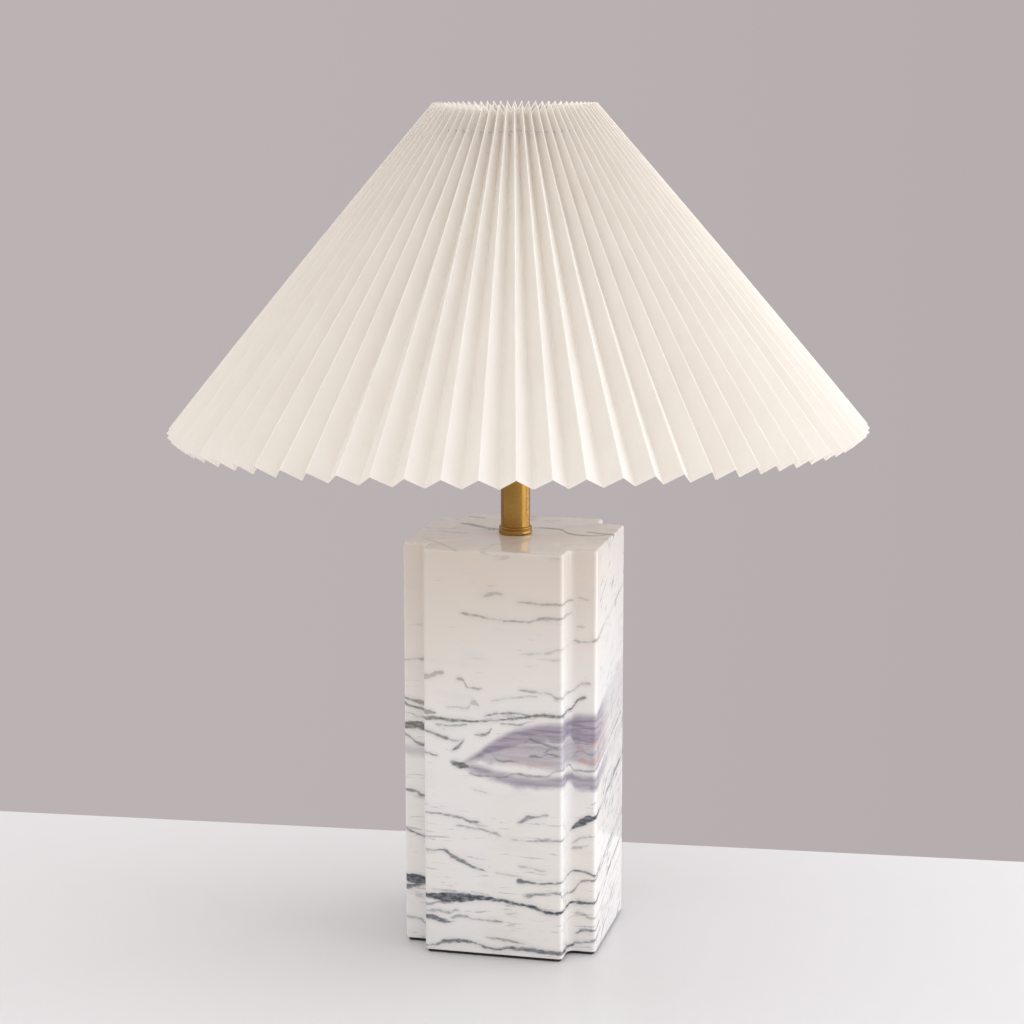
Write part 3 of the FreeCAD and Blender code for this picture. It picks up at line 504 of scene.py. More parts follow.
# Where each vein's core and the pale halo round it start and end, in millimetres inside its edge.
CORE_EDGE, HALO_EDGE = (-0.5, 0.9), (-3.2, 0.6)
# Line of the notches' inner faces, and how steeply the beds climb from there to the back.
NOTCH_LINE = COLUMN_HALF - NOTCH
CLIMB = 0.22


def vein(look, across, height, points, widest):
    """How far inside a vein each place is, in millimetres; below 0 beyond its sides and ends."""
    low = min(point[1] for point in points)
    span = max(point[1] for point in points) - low + 1
    places = [(x + HALF_SPAN) / (2 * HALF_SPAN) for x, _, _ in points]
    line = look.tree.nodes.new("ShaderNodeFloatCurve")
    curve_points(line, [(place, (point[1] - low) / span) for place, point in zip(places, points)])
    width = look.tree.nodes.new("ShaderNodeFloatCurve")
    reach = [(point[2] or NONE) - NONE for point in points]
    curve_points(width, [(place, size / (widest - NONE)) for place, size in zip(places, reach)])
    for node in (line, width):
        look.feed(node.inputs["Value"], across)
    middle = look.math("MULTIPLY_ADD", line.outputs[0], span, low)
    half = look.math("MULTIPLY_ADD", width.outputs[0], widest - NONE, NONE)
    off = look.math("ABSOLUTE", look.math("SUBTRACT", height, middle))
    return look.math("SUBTRACT", half, off)


def drawn(look, across, height, veins, edges, ragged, widest=4):
    """Strength of the veins at each place, once for each pair of where edges start and end."""
    totals = [0.0] * len(edges)
    for strength, points in veins:
        inside = look.math("ADD", vein(look, across, height, points, widest), ragged)
        for number, (start, end) in enumerate(edges):
            here = look.between(inside, start, end, 0.0, strength)
            totals[number] = look.math("MAXIMUM", totals[number], here)
    return totals


def make_marble():
    """Polished white marble with bedded grey-green to navy veins and a mauve cloud."""
    look = Look("marble", specular_ior_level=0.5, coat_weight=0.2, coat_roughness=0.06)
    axes = look.add("SeparateXYZ", {0: look.place})
    x, y, z = (look.math("MULTIPLY", axes[name], 1 / MM) for name in "XYZ")

    def grain(*scale, **settings):
        """Noise around 0, with so many features per metre along each axis."""
        return look.math("SUBTRACT", look.noise(place=look.stretched(*scale), **settings), 0.5)

    swell = grain(22, 16, 30, detail=2)
    ripple = grain(90, 60, 140, detail=3)
    crumbs = grain(260, 170, 620, detail=4, roughness=0.6)
    wander = look.math("MULTIPLY_ADD", ripple, 2.6, look.math("MULTIPLY", swell, 1.5))
    # the beds climb to the back, and beyond the front their veins break up
    beyond = look.between(y, -45, -25)
    climb = look.math("MAXIMUM", look.math("MULTIPLY_ADD", y, CLIMB, NOTCH_LINE * CLIMB), 0.0)
    height = look.math("ADD", look.math("SUBTRACT", z, climb), wander)
    depth = look.math("ADD", y, wander)
    across = look.math("MULTIPLY_ADD", x, 1 / (2 * HALF_SPAN), 0.5)

    ragged = look.math("MULTIPLY", crumbs, 2.4)
    on_top = look.between(z, COLUMN_TOP - 2.4, COLUMN_TOP - 0.6, -8.0, 0.0)
    edges = (CORE_EDGE, HALO_EDGE)
    core, halo = drawn(look, across, height, VEINS, edges, ragged)
    top_ragged = look.math("ADD", ragged, on_top)
    top_core, top_halo = drawn(look, across, depth, TOP_VEINS, edges, top_ragged)
    gaps = look.between(look.noise(place=look.stretched(38, 46, 60), detail=3), 0.44, 0.58)
    kept = look.math("MULTIPLY_ADD", beyond, look.math("MULTIPLY_ADD", gaps, 0.7, -0.75), 1.0)
    core = look.math("MAXIMUM", look.math("MULTIPLY", core, kept), top_core)
    halo = look.math("MAXIMUM", look.math("MULTIPLY", halo, kept), top_halo)

    # short wisps between the veins lie in the bedding, which climbs on the side faces
    leaning = look.math("MULTIPLY_ADD", y, -0.5, z)
    bedding = look.add("CombineXYZ", {"X": x, "Y": y, "Z": leaning})[0]
    streaky = look.add("VectorMath", {0: bedding, 1: (0.045, 0.08, 0.4)}, operation="MULTIPLY")[0]
    wisps = look.noise(place=streaky, detail=5, roughness=0.62, distortion=0.6)
    patches = look.noise(place=look.stretched(17, 17, 24), detail=2)
    limit = look.math("MULTIPLY_ADD", beyond, -0.065, 0.76)
    limit = look.math("MULTIPLY_ADD", patches, -0.22, limit)
    limit = look.math("SUBTRACT", limit, look.between(z, 40, 230, 0.06, 0.0))
    wisp = look.between(look.math("SUBTRACT", wisps, limit), -0.01, 0.1)

    warm = look.between(look.noise(place=look.stretched(14, 14, 9), detail=2), 0.35, 0.7)
    ground = look.blend(warm, CLEAR_STONE, WARM_STONE)
    # painted shade: the front is darker and creamier towards its top, where the lampshade above
    # shades it and warms its light
    front = look.math("MULTIPLY_ADD", beyond, -0.7, 1.0)
    painted_shade = look.math("MULTIPLY", look.between(z, 140, 262), front)
    upright = look.between(z, COLUMN_TOP - 2.4, COLUMN_TOP - 0.4, 0.9, 0.1)
    ground = look.blend(look.math("MULTIPLY", painted_shade, upright), ground, SHADED_CREAM)
    cloud = look.noise(place=look.stretched(30, 30, 90), detail=4, roughness=0.6)
    cloudy = look.math("MULTIPLY", look.between(cloud, 0.5, 0.75), 0.3)
    ground = look.blend(cloudy, ground, CLOUD_GREY)

    # mauve cloud at mid height near the front right, which fades to the back
    fading = look.math("MULTIPLY_ADD", look.between(y, -44, 0), -0.75, 1.0)
    soft = look.math("MULTIPLY_ADD", swell, 5.0, look.math("MULTIPLY", ripple, 5.0))
    stain = drawn(look, across, height, STAINS, [(-2.8, 3.0)], soft, widest=12)[0]
    bands = look.stretched(26, 30, 210)
    bands = look.noise(place=bands, detail=4, roughness=0.6, distortion=1.2)
    mauve = look.blend(look.between(bands, 0.36, 0.62), MAUVE_DEEP, MAUVE_PALE)
    rust = drawn(look, across, height, RUST, [(-0.9, 0.9)], ragged)[0]
    thread = drawn(look, across, height, THREADS, [(-0.6, 0.8)], ragged)[0]
    for share, colour in ((stain, mauve), (rust, RUST_TONE), (thread, THREAD_TONE)):
        ground = look.blend(look.math("MULTIPLY", share, fading), ground, colour)

    dark = look.blend(look.between(z, 60, 170), VEIN_NAVY, VEIN_OLIVE)
    tone = look.blend(look.math("MULTIPLY", halo, 0.3), ground, HALO_TONE)
    faint = look.math("MULTIPLY_ADD", beyond, 0.2, 0.5)
    tone = look.blend(look.math("MULTIPLY", wisp, faint), tone, WISP_TONE)
    worn = look.between(crumbs, -0.2, 0.12, 0.72, 1.0)
    tone = look.blend(look.math("MULTIPLY", core, worn), tone, dark)
    look.surface(base_color=tone, roughness=look.math("MULTIPLY_ADD", core, 0.06, 0.12))
    look.bump(look.noise(place=look.stretched(9, 9, 9), detail=2), 0.1)
    return look


def make_cloth():
    """Close-woven cream lampshade cloth that lets light through."""
    look = Look("shade_cloth", roughness=0.82, specular_ior_level=0.2)
    look.surface(sheen_weight=0.12, sheen_roughness=0.5)
    threads = look.noise(place=look.stretched(900, 900, 260), detail=2)
    slub = look.noise(place=look.stretched(60, 60, 14), detail=3)
    share = look.math("MULTIPLY_ADD", threads, 0.4, look.math("MULTIPLY", slub, 0.6))
    tone = look.blend(look.between(share, 0.3, 0.7), (0.90, 0.875, 0.85), (0.925, 0.905, 0.885))
    look.surface(base_color=tone)
    look.bump(threads, 0.05, 0.6)
    light = look.add("BsdfTranslucent", {"Color": look.blend(0.5, tone, (0.96, 0.89, 0.78))})[0]
    mixed = look.add("MixShader", {"Fac": 0.5, 1: look.shader.outputs[0], 2: light})[0]
    look.feed(look.output.inputs["Surface"], mixed)
    return look


def make_brass():
    """Satin brass, brushed round the tube."""
    look = Look("brushed_brass", metallic=1.0)
    brushed = look.noise(place=look.stretched(30, 30, 5200), detail=3, roughness=0.7)
    patina = look.noise(place=look.stretched(70, 70, 25), detail=3)
    # painted shade: both tones are much darker than bare brass, in place of the dark surroundings
    # that the tube reflects
    tone = look.blend(look.between(patina, 0.3, 0.7), (0.335, 0.185, 0.043), (0.40, 0.232, 0.062))
    look.surface(base_color=tone, roughness=look.between(brushed, 0.25, 0.75, 0.2, 0.3))
    look.bump(brushed, 0.012, 0.5)
    return look


def make_metal(name, low, high, roughness):
    """Plated or bare metal with a cloudy tone and fine scratches."""
    look = Look(name, metallic=1.0)
    clouds = look.noise(scale=160.0, detail=4)
    look.surface(base_color=look.blend(look.between(clouds, 0.3, 0.7), low, high))
    scratches = look.noise(place=look.stretched(900, 900, 1800), detail=3)
    look.surface(roughness=look.between(scratches, 0.2, 0.8, roughness - 0.06, roughness + 0.08))
    look.bump(scratches, 0.01, 0.5)
    return look


def make_moulding(name, low, high, roughness, depth=0.02):
    """Moulded plastic or painted surface with a light orange-peel."""
    look = Look(name)
    clouds = look.noise(scale=90.0, detail=3)
    look.surface(base_color=look.blend(look.between(clouds, 0.3, 0.7), low, high))
    peel = look.noise(scale=1400.0, detail=2)
    look.surface(roughness=look.between(peel, 0.2, 0.8, roughness - 0.05, roughness + 0.07))
    look.bump(peel, depth, 0.6)
    return look


marble = make_marble()
cloth = make_cloth()
brass = make_brass()
steel = make_metal("zinc_steel", (0.50, 0.51, 0.53), (0.62, 0.63, 0.64), 0.36)
screw_metal = make_metal("screw_shell_metal", (0.62, 0.62, 0.60), (0.72, 0.72, 0.70), 0.3)
contact_metal = make_metal("contact_brass", (0.62, 0.46, 0.20), (0.72, 0.55, 0.26), 0.3)
cap_metal = make_metal("bulb_cap_metal", (0.66, 0.67, 0.68), (0.76, 0.77, 0.78), 0.24)
pad_felt = make_moulding("felt", (0.018, 0.016, 0.016), (0.035, 0.032, 0.03), 0.9, 0.15)
inlet_white = make_moulding("inlet_plastic", (0.79, 0.77, 0.74), (0.84, 0.82, 0.79), 0.42)
holder_black = make_moulding("holder_moulding", (0.03, 0.03, 0.031), (0.045, 0.045, 0.047), 0.34)
knob_black = make_moulding("knob_moulding", (0.03, 0.027, 0.024), (0.045, 0.04, 0.036), 0.26)
carrier_paint = make_moulding("carrier_white", (0.76, 0.76, 0.75), (0.83, 0.83, 0.82), 0.4, 0.03)
bulb_black = make_moulding("bulb_black_glass", (0.012, 0.012, 0.014), (0.03, 0.03, 0.034), 0.16)
bulb_white = make_moulding("bulb_white_plastic", (0.78, 0.78, 0.77), (0.84, 0.84, 0.83), 0.3)
bulb_milky = make_moulding("frosted_globe", (0.84, 0.84, 0.81), (0.88, 0.88, 0.86), 0.45, 0.01)
bulb_milky.surface(subsurface_weight=0.3, subsurface_radius=(0.01, 0.009, 0.007))
bulb_milky.surface(subsurface_scale=0.4)
thread_grey = make_moulding("stitch_thread", (0.42, 0.42, 0.43), (0.56, 0.56, 0.57), 0.8, 0.05)
thread_grey.slot = "shade_cloth"


# ------ marble column
def notched_outline(inset):
    """The column's plan, moved in by inset: a square with a round-cornered notch at each corner."""
    half = COLUMN_HALF - inset
    step = COLUMN_HALF - NOTCH - inset
    out, fillet = ARRIS - inset * 0.6, NOTCH_FILLET + inset * 0.6
    quarter = [(half, step, out), (step, step, fillet), (step, half, out)]
    corners = []
    for turn in range(4):
        for across, up, ease in quarter:
            for _ in range(turn):
                across, up = -up, across
            corners.append((across, up, ease))
    return softened(corners, steps=8)


def make_column():
    rows = []
    for step in range(5):
        angle = math.radians(90 * step / 4)
        inset = FOOT_EASE * (1 - math.sin(angle))
        level = PAD_THICKNESS + FOOT_EASE * (1 - math.cos(angle))
        rows.append([(across, up, level) for across, up in notched_outline(inset)])
    for step in range(7):
        angle = math.radians(90 * step / 6)
        inset = TOP_EASE * (1 - math.cos(angle))
        level = COLUMN_TOP - TOP_EASE * (1 - math.sin(angle))
        rows.append([(across, up, level) for across, up in notched_outline(inset)])
    column = new_piece("column", *skin(rows), marble, "base", ["marble_column"], smooth=50)
    recess = turned([(RECESS_RADIUS, -5.0), (RECESS_RADIUS, RECESS_TOP)], 72, ring=False)
    bore = turned([(STEM_BORE, 10.0), (STEM_BORE, COLUMN_TOP + 5)], 48, ring=False)
    inlet = swept([(0, 20, INLET_LEVEL), (0, 80, INLET_LEVEL)], INLET_BORE, 32)
    cut(column, recess, bore, inlet)


def make_pad():
    """Thin dark pad, a little smaller than the foot, with eased edges."""
    edge = (
        (PAD_INSET + 0.4, 0.0), (PAD_INSET, 0.4), (PAD_INSET, 1.7), (PAD_INSET + 0.2, PAD_THICKNESS)
    )
    rows = [[(across, up, level) for across, up in notched_outline(inset)] for inset, level in edge]
    new_piece("foot_pad", *skin(rows), pad_felt, "base", ["base_pad"])


def make_inlet_bush():
    """Flanged bush in the back face, with a rolled mouth for the lead."""
    flange_back = BUSH_END - 1.6
    profile = softened(
        [(BUSH_BORE, BUSH_START, 0), (BUSH_RADIUS, BUSH_START, 0.5), (BUSH_RADIUS, flange_back, 0),
         (BUSH_FLANGE, flange_back, 0), (BUSH_FLANGE, BUSH_END, 0.9), (4.6, BUSH_END, 0.5),
         (BUSH_BORE, BUSH_END - 1.5, 0.8)]
    )
    points, faces = turned(profile, 64)
    points = [(x, z, INLET_LEVEL - y) for x, y, z in points]
    new_piece("inlet_bush", points, faces, inlet_white, "base", ["cord_inlet_bush"])


# ------ brass neck
def make_neck():
    tube = softened(
        [(TUBE_BORE, TUBE_BOTTOM, 0), (TUBE_RADIUS, TUBE_BOTTOM, 0), (TUBE_RADIUS, TUBE_TOP, 0.4),
         (TUBE_BORE, TUBE_TOP, 0.3)]
    )
    new_piece("neck", *turned(tube, 128), brass, "base", ["neck_tube"])
    # a broad roll below a narrow one, with a groove between them
    rolls = [
        (9.0, 0.0, 0), (10.6, 0.0, 0.4), (10.85, 0.9, 0.8), (10.8, 2.6, 0.8),
        (10.1, 3.2, 0.4), (10.1, 3.6, 0.3), (10.75, 3.9, 0.3), (10.7, 4.8, 0.4),
        (10.0, 5.2, 0.4), (9.56, 5.2, 0), (9.56, 2.0, 0), (9.0, 2.0, 0),
    ]
    collar = softened(raised(COLUMN_TOP, rolls), steps=5)
    new_piece("collar", *turned(collar, 128), brass, "base", ["neck_collar"])


# ------ lampholder
def make_holder():
    """Cap and shell, with a slot for the switch shaft and a thread above the shoulder."""
    height = SHELL_BOTTOM - TUBE_TOP
    bowl = [
        (CAP_BORE, 0.0, 0), (14.5, 0.0, 1.0), (18.0, 2.6, 2.2), (HOLDER_RADIUS, 6.0, 2.0),
        (HOLDER_RADIUS, height, 0.3), (CAP_INSIDE, height, 0.2), (CAP_INSIDE, CAP_FLOOR, 0.5),
        (CAP_BORE, CAP_FLOOR, 0),
    ]
    cap = softened(raised(TUBE_TOP, bowl), steps=6)
    new_piece("holder_cap", *turned(cap, 96), holder_black, "base", ["socket_cap"])
    shell = softened(
        [(SHELL_BORE, SHELL_BOTTOM, 0.2), (HOLDER_RADIUS, SHELL_BOTTOM, 0.4),
         (HOLDER_RADIUS, SHOULDER, 0.5), (THREAD_RADIUS, SHOULDER, 0.2),
         (THREAD_RADIUS, SHELL_TOP, 0.7), (SHELL_BORE, SHELL_TOP, 0.5)]
    )
    piece = new_piece("holder_shell", *turned(shell, 96), holder_black, "base", ["socket_shell"])
    low, high = SHELL_BOTTOM - 6, SHAFT_LEVEL + SLOT_HALF
    corners = [(-SLOT_HALF, low), (SLOT_HALF, low), (SLOT_HALF, high), (-SLOT_HALF, high)]
    cut(piece, skin([[(x, across, level) for across, level in corners] for x in (10.0, 25.0)]))
    ridge = helix(THREAD_RADIUS - 0.15, THREAD_START, SHELL_TOP - 1.3, THREAD_PITCH)
    new_piece("holder_thread", *swept(ridge, 0.35, 8), holder_black, "base")


def make_knob():
    """Paddle knob on its shaft: round waist, then a flat grip with ribs on both faces."""
    # distance from the knob's inner end, radius, and how far the flats let it reach
    stations = (
        (0.0, KNOB_WAIST - 0.4, KNOB_WAIST), (0.4, KNOB_WAIST, KNOB_WAIST),
        (4.8, KNOB_WAIST, KNOB_WAIST), (6.0, KNOB_WAIST + 0.2, KNOB_WAIST),
        (6.8, KNOB_GRIP - 0.8, KNOB_FLAT + 0.5), (8.0, KNOB_GRIP, KNOB_FLAT),
        (19.0, KNOB_GRIP, KNOB_FLAT), (19.7, KNOB_GRIP - 0.3, KNOB_FLAT - 0.3),
        (20.0, KNOB_GRIP - 0.9, KNOB_FLAT - 0.9),
    )
    rows = []
    for along, radius, limit in stations:
        row = []
        for step in range(48):
            angle = TURN * step / 48
            y, z = radius * math.cos(angle), radius * math.sin(angle)
            row.append((KNOB_START + along, max(-limit, min(limit, y)), SHAFT_LEVEL + z))
        rows.append(row)
    ribs = []
    for side in (-1, 1):
        for number in range(7):
            x, y = KNOB_START + 9.0 + number * 1.5, side * (KNOB_FLAT - 0.08)
            ribs.append(swept([(x, y, SHAFT_LEVEL + rise) for rise in (-3.2, 0, 3.2)], 0.35, 8))
    new_piece("knob", *join(skin(rows), *ribs), knob_black, "knob", ["switch_knob"])


# ------ bulb
def bulb_line(wall):
    """Profile of the bulb's wall from the neck up, moved in by wall, and where the globe starts."""
    across = BULB_NECK + BULB_FLARE
    reach = BULB_RADIUS + BULB_FLARE
    drop = math.sqrt(reach**2 - across**2)
    turn = math.asin(drop / reach)
    line = [(BULB_NECK - wall, HOUSING_BOTTOM)]
    for step in range(17):
        angle = turn * step / 16
        radius = BULB_FLARE + wall
        level = BULB_CENTRE - drop + radius * math.sin(angle)
        line.append((across - radius * math.cos(angle), level))
    seam = len(line) - 4
    for step in range(1, 25):
        angle = (math.pi / 2 + turn) * step / 24 - turn
        radius = BULB_RADIUS - wall
        line.append((max(radius * math.cos(angle), 0.4), BULB_CENTRE + radius * math.sin(angle)))
    return line, seam


def make_bulb():
    """Housing and globe from one line, and the screw cap round the housing's neck."""
    (outer, seam), (inner, _) = bulb_line(0.0), bulb_line(BULB_WALL)
    housing = outer[: seam + 1] + inner[seam::-1]
    new_piece("bulb_base", *turned(housing, 72), bulb_white, "bulb", ["bulb_housing"], smooth=60)
    dome = [(radius, min(level, DOME_TOP)) for radius, level in outer[seam:]]
    globe = turned(dome + inner[: seam - 1 : -1], 72)
    new_piece("bulb_dome", *globe, bulb_milky, "bulb", ["bulb_globe"], smooth=60)
    low, high = BULB_THREAD
    levels = 10 * BULB_PITCHES
    crests = []
    for index in range(levels + 1):
        level = low + (high - low) * index / levels
        crests.append((12.98 + 0.12 * math.cos(TURN * index / 10), level))
    cap = [(12.5, BULB_CAP_BOTTOM), (12.9, BULB_CAP_BOTTOM)] + crests
    cap += [(12.9, BULB_CAP_TOP), (12.7, BULB_CAP_TOP)]
    cap += [(radius - 0.4, level) for radius, level in reversed(crests)]
    new_piece("bulb_screw_cap", *turned(cap, 72), cap_metal, "bulb", ["bulb_cap"], smooth=60)


# ------ shade carrier
def make_clamp():
    """Threaded ring that holds the fitter down, with grips round its rim."""
    steps, grips, depth = 144, 24, 0.3
    rim = CLAMP_RADIUS - depth
    # radius, height over the fitter, and whether the grips shape it
    stations = (
        (17.25, 0.2, 0), (17.6, 0.0, 0), (19.8, 0.0, 0), (rim, 0.5, 1),
        (rim, 4.9, 1), (19.8, 5.5, 0), (17.6, 5.5, 0), (17.25, 5.2, 0),
    )
    rows = []
    for radius, rise, gripped in stations:
        row = []
        for step in range(steps):
            angle = TURN * step / steps
            reach = radius + gripped * depth * math.cos(grips * angle)
            row.append((reach * math.cos(angle), reach * math.sin(angle), FITTER_TOP + rise))
        rows.append(row)
    new_piece("clamp_ring", *skin(rows, ring=True), holder_black, "clamp", ["shade_clamp_ring"])


def ring_radius():
    """The carrier ring's middle radius, from the frame."""
    low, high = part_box("shade_ring")
    return (high.x - low.x) / 2 / MM - WIRE


def make_carrier():
    """Fitter on the holder's shoulder, and bent wires from it to the ring in the folds."""
    fitter = softened(
        [(FITTER_BORE, SHOULDER, 0.3), (FITTER_RADIUS, SHOULDER, 0.5),
         (FITTER_RADIUS, FITTER_TOP, 0.5), (FITTER_BORE, FITTER_TOP, 0.3)]
    )
    new_piece("fitter", *turned(fitter, 96), carrier_paint, "shade", ["fitter_ring"])
    radius = ring_radius()
    turns = [TURN * step / 120 for step in range(120)]
    circle = [(radius * math.cos(turn), radius * math.sin(turn), RING_LEVEL) for turn in turns]
    ring = swept(circle, WIRE, closed=True)
    new_piece("ring", *ring, carrier_paint, "shade", ["shade_ring"], smooth=60)
    level = (SHOULDER + FITTER_TOP) / 2
    corners = [
        (FITTER_RADIUS - 1.5, level, 0), (ARM_REACH, level, ARM_BEND),
        (radius - 0.3, RING_LEVEL - WIRE * 0.9, 0),
    ]
    line = softened(corners, closed=False, steps=10)
    arms = []
    for number in range(ARM_COUNT):
        turn = TURN * number / ARM_COUNT
        path = [(reach * math.cos(turn), reach * math.sin(turn), up) for reach, up in line]
        arms.append(swept(path, WIRE - 0.05))
    new_piece("arms", *join(*arms), carrier_paint, "shade", ["carrier_arms"], smooth=60)


# ------ pleated shade
def wave(angle, terms):
    """Value at an angle of a constant with cosine and sine pairs of one, two and more waves."""
    total = terms[0]
    for waves, (cosine, sine) in enumerate(zip(terms[1::2], terms[2::2]), 1):
        total += cosine * math.cos(waves * angle) + sine * math.sin(waves * angle)
    return total


def fold_point(number, share, jitter):
    """Point on a fold line; share runs from 0 at the lower rim to 1 at the upper one."""
    line = RIDGE if number % 2 else VALLEY
    nominal = TURN * number / FOLDS
    drift = wave(nominal, FOLD_DRIFT) + jitter * (1 - 0.5 * share)
    angle = nominal + math.radians(drift)
    (low_radius, low_level), (high_radius, high_level) = line
    rise = wave(angle, RIM_DRIFT) * (1 - share) ** 1.5
    radius = low_radius + (high_radius - low_radius) * share + BULGE * 4 * share * (1 - share)
    level = low_level + (high_level - low_level) * share + rise
    shift = RIM_SHIFT * (1 - share)
    return Vector((radius * math.cos(angle) + shift, radius * math.sin(angle), level))


def make_shade():
    """Cloth with blunted folds: each panel's points, row by row, then its thickness."""
    chance = random.Random(7)
    jitters = [chance.uniform(-UNEVEN, UNEVEN) for _ in range(FOLDS)]
    rows = []
    for step in range(FOLD_STEPS + 1):
        share = step / FOLD_STEPS
        tips = [fold_point(n, share, jitters[n]) for n in range(FOLDS)]
        row = []
        for number, tip in enumerate(tips):
            after = tips[(number + 1) % FOLDS]
            before = tips[number - 1]
            width = (after - tip).length
            ahead = tip.lerp(after, FOLD_TIP / width)
            behind = tip.lerp(before, FOLD_TIP / (before - tip).length)
            blunt = tip.lerp((ahead + behind) / 2, 0.5)
            row += [blunt, ahead]
            row += [tip.lerp(after, place) for place in (0.16, 0.5, 0.84)]
            row.append(after.lerp(tip, FOLD_TIP / width))
        rows.append(row)
    points, faces = skin(rows, caps=False)
    piece = new_piece("shade", points, faces, cloth, "shade", ["pleated_shade"])
    solid = piece.modifiers.new("thickness", "SOLIDIFY")
    solid.thickness = CLOTH * MM
    solid.offset = -1.0
    settle(piece, smooth=15)
    return piece


def make_stitches():
    """Thread run through the folds beside the carrier ring; it shows across each valley."""
    steps = 240
    line = []
    for step in range(steps):
        angle = TURN * step / steps
        level = STITCH_LEVEL + 0.3 * math.sin(9 * angle)
        line.append((STITCH_RADIUS * math.cos(angle), STITCH_RADIUS * math.sin(angle), level))
    thread = swept(line, STITCH_THREAD, 8, closed=True)
    return new_piece("stitches", *thread, thread_grey, "shade", smooth=60)


make_column()
make_pad()
make_inlet_bush()
make_neck()
make_holder()
make_knob()
make_bulb()
make_clamp()
make_carrier()
shade = make_shade()
stitches = make_stitches()

steel.on_nodes("threaded_stem", "load_plate", "lock_washer", "stem_nut", "switch_shaft")
holder_black.on_nodes("socket_core")
screw_metal.on_nodes("screw_shell")
contact_metal.on_nodes("centre_contact", "bulb_tip")
bulb_black.on_nodes("bulb_insulator")


# ------ table, light and camera
# The fill's colour, and its strength at the horizon and overhead.
FILL_TINT = (1.0, 0.995, 0.995, 1.0)
FILL = (0.62, 1.78)
# The room's colour, and how bright it is from -X (at 0) to +X (at 1).
ROOM_TINT = (0.996, 0.892, 0.906, 1.0)
ROOM = (
    (0.0, 0.44), (0.15, 0.44), (0.29, 0.5), (0.42, 0.48), (0.5, 0.465), (0.65, 0.56), (1.0, 0.88)
)
# Table top's corners in metres.
TABLE_LEFT, TABLE_RIGHT, TABLE_FRONT = -3.0, 3.0, -3.5
TABLE_BACK_LEFT, TABLE_BACK_RIGHT = -0.021, 0.4
# The camera looks at a point over the origin from this far, in degrees and metres.
AZIMUTH, ELEVATION, ROLL = 13.43, 10.49, -0.07
DISTANCE, AIM_ACROSS, AIM_HEIGHT = 1.6539, -0.00222, 0.2809
LENS, SENSOR = 89.56, 36.0


def make_table():
    """White table top that ends at a back edge a hand's width behind the column."""
    points = [
        (TABLE_LEFT, TABLE_FRONT, 0), (TABLE_RIGHT, TABLE_FRONT, 0),
        (TABLE_RIGHT, TABLE_BACK_RIGHT, 0), (TABLE_LEFT, TABLE_BACK_LEFT, 0),
    ]
    look = Look("table", roughness=0.32, specular_ior_level=0.45)
    speckle = look.noise(scale=40.0, detail=3)
    look.surface(base_color=look.blend(speckle, (0.6, 0.585, 0.59), (0.615, 0.6, 0.605)))
    mesh = bpy.data.meshes.new("table")
    mesh.from_pydata(points, [], [(0, 1, 2, 3)])
    mesh.materials.append(look.material)
    table = bpy.data.objects.new("table", mesh)
    bpy.context.scene.collection.objects.link(table)


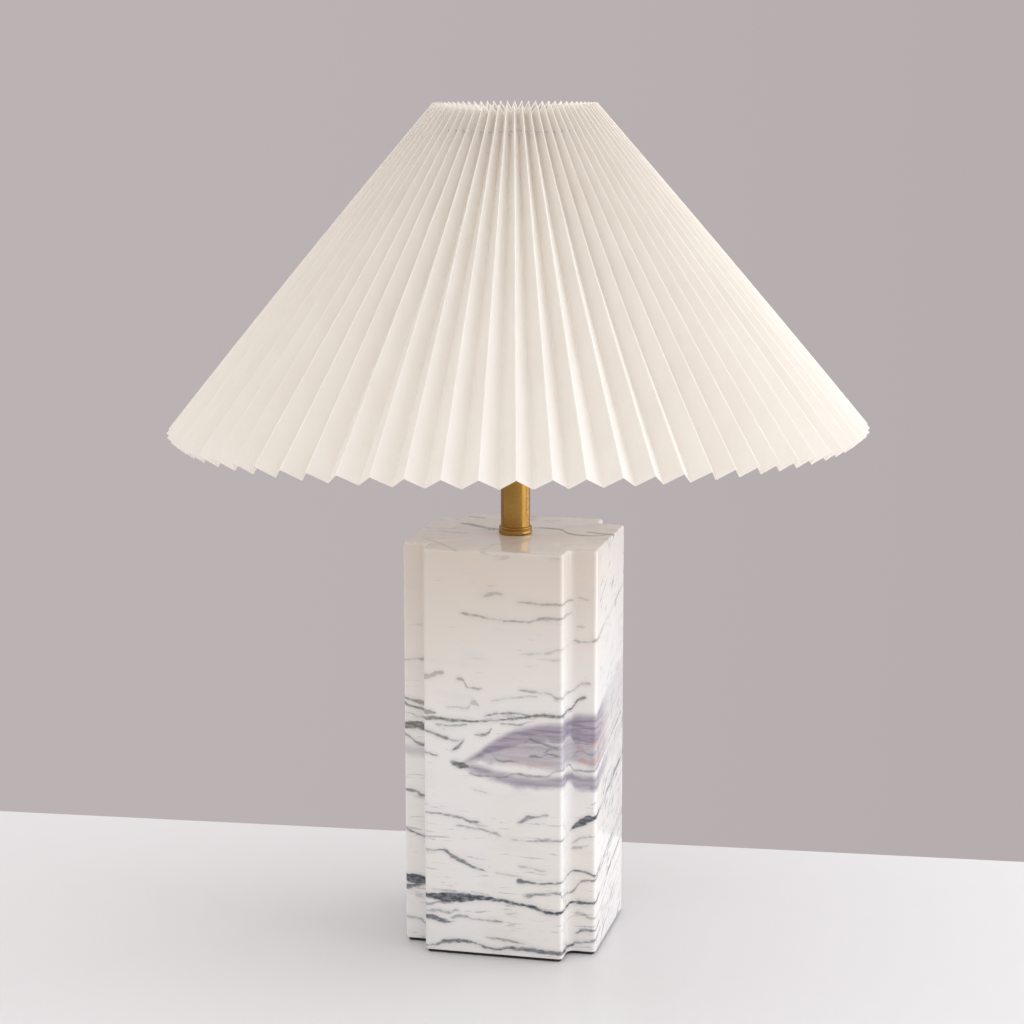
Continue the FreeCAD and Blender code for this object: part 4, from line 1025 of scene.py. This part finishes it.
def make_world():
    """Even studio fill; the camera, mirrors and glass see a plain mauve-grey room instead."""
    world = bpy.data.worlds.new("studio")
    bpy.context.scene.world = world
    world.use_nodes = True
    nodes, links = world.node_tree.nodes, world.node_tree.links
    way = nodes.new("ShaderNodeSeparateXYZ")
    links.new(nodes.new("ShaderNodeTexCoord").outputs["Generated"], way.inputs[0])
    fill = nodes["Background"]
    fill.inputs["Color"].default_value = FILL_TINT
    strength = nodes.new("ShaderNodeMapRange")
    strength.inputs["To Min"].default_value, strength.inputs["To Max"].default_value = FILL
    links.new(way.outputs["Z"], strength.inputs["Value"])
    links.new(strength.outputs["Result"], fill.inputs["Strength"])

    room = nodes.new("ShaderNodeBackground")
    room.inputs["Color"].default_value = ROOM_TINT
    place = nodes.new("ShaderNodeMath")
    place.operation = "MULTIPLY_ADD"
    place.inputs[1].default_value = place.inputs[2].default_value = 0.5
    links.new(way.outputs["X"], place.inputs[0])
    level = nodes.new("ShaderNodeFloatCurve")
    curve_points(level, ROOM)
    links.new(place.outputs[0], level.inputs["Value"])
    links.new(level.outputs[0], room.inputs["Strength"])

    # light that cloth lets through comes from the fill
    path = nodes.new("ShaderNodeLightPath")
    seen = path.outputs["Is Camera Ray"]
    rays = (
        ("MAXIMUM", "Is Glossy Ray"), ("MAXIMUM", "Is Transmission Ray"),
        ("SUBTRACT", "Is Diffuse Ray"),
    )
    for operation, name in rays:
        step = nodes.new("ShaderNodeMath")
        step.operation = operation
        step.use_clamp = True
        links.new(seen, step.inputs[0])
        links.new(path.outputs[name], step.inputs[1])
        seen = step.outputs[0]
    mix = nodes.new("ShaderNodeMixShader")
    links.new(seen, mix.inputs[0])
    links.new(fill.outputs[0], mix.inputs[1])
    links.new(room.outputs[0], mix.inputs[2])
    links.new(mix.outputs[0], nodes["World Output"].inputs["Surface"])


def make_lamp(name, place, aim, size, power, tint):
    """Soft rectangular lamp turned to its aim."""
    data = bpy.data.lights.new(name, "AREA")
    data.shape = "RECTANGLE"
    data.size, data.size_y = size
    data.energy = power
    data.color = tint
    lamp = bpy.data.objects.new(name, data)
    lamp.location = place
    way = Vector(aim) - Vector(place)
    lamp.rotation_euler = way.to_track_quat("-Z", "Y").to_euler()
    bpy.context.scene.collection.objects.link(lamp)


def make_camera():
    azimuth, elevation, roll = (math.radians(angle) for angle in (AZIMUTH, ELEVATION, ROLL))
    right = Vector((math.cos(azimuth), math.sin(azimuth), 0))
    level = math.cos(elevation)
    back = Vector((right.y * level, -right.x * level, math.sin(elevation)))
    data = bpy.data.cameras.new("camera")
    data.sensor_width = SENSOR
    data.sensor_fit = "HORIZONTAL"
    data.lens = LENS
    camera = bpy.data.objects.new("camera", data)
    camera.location = right * AIM_ACROSS + Vector((0, 0, AIM_HEIGHT)) + back * DISTANCE
    camera.rotation_euler = (-back).to_track_quat("-Z", "Y").to_euler()
    camera.rotation_euler.rotate_axis("Z", roll)
    bpy.context.scene.collection.objects.link(camera)
    bpy.context.scene.camera = camera


make_table()
make_world()
make_lamp(
    "key", place=(2.05, 0.22, 0.8), aim=(0, 0, 0.25), size=(2.2, 1.6), power=31.0,
    tint=(0.87, 0.935, 1.0),
)
make_lamp(
    "edge", place=(1.35, 1.2, 0.5), aim=(0, 0, 0.3), size=(0.22, 1.2), power=4.5,
    tint=(0.92, 0.96, 1.0),
)
make_camera()
bpy.context.scene.view_settings.view_transform = "Standard"
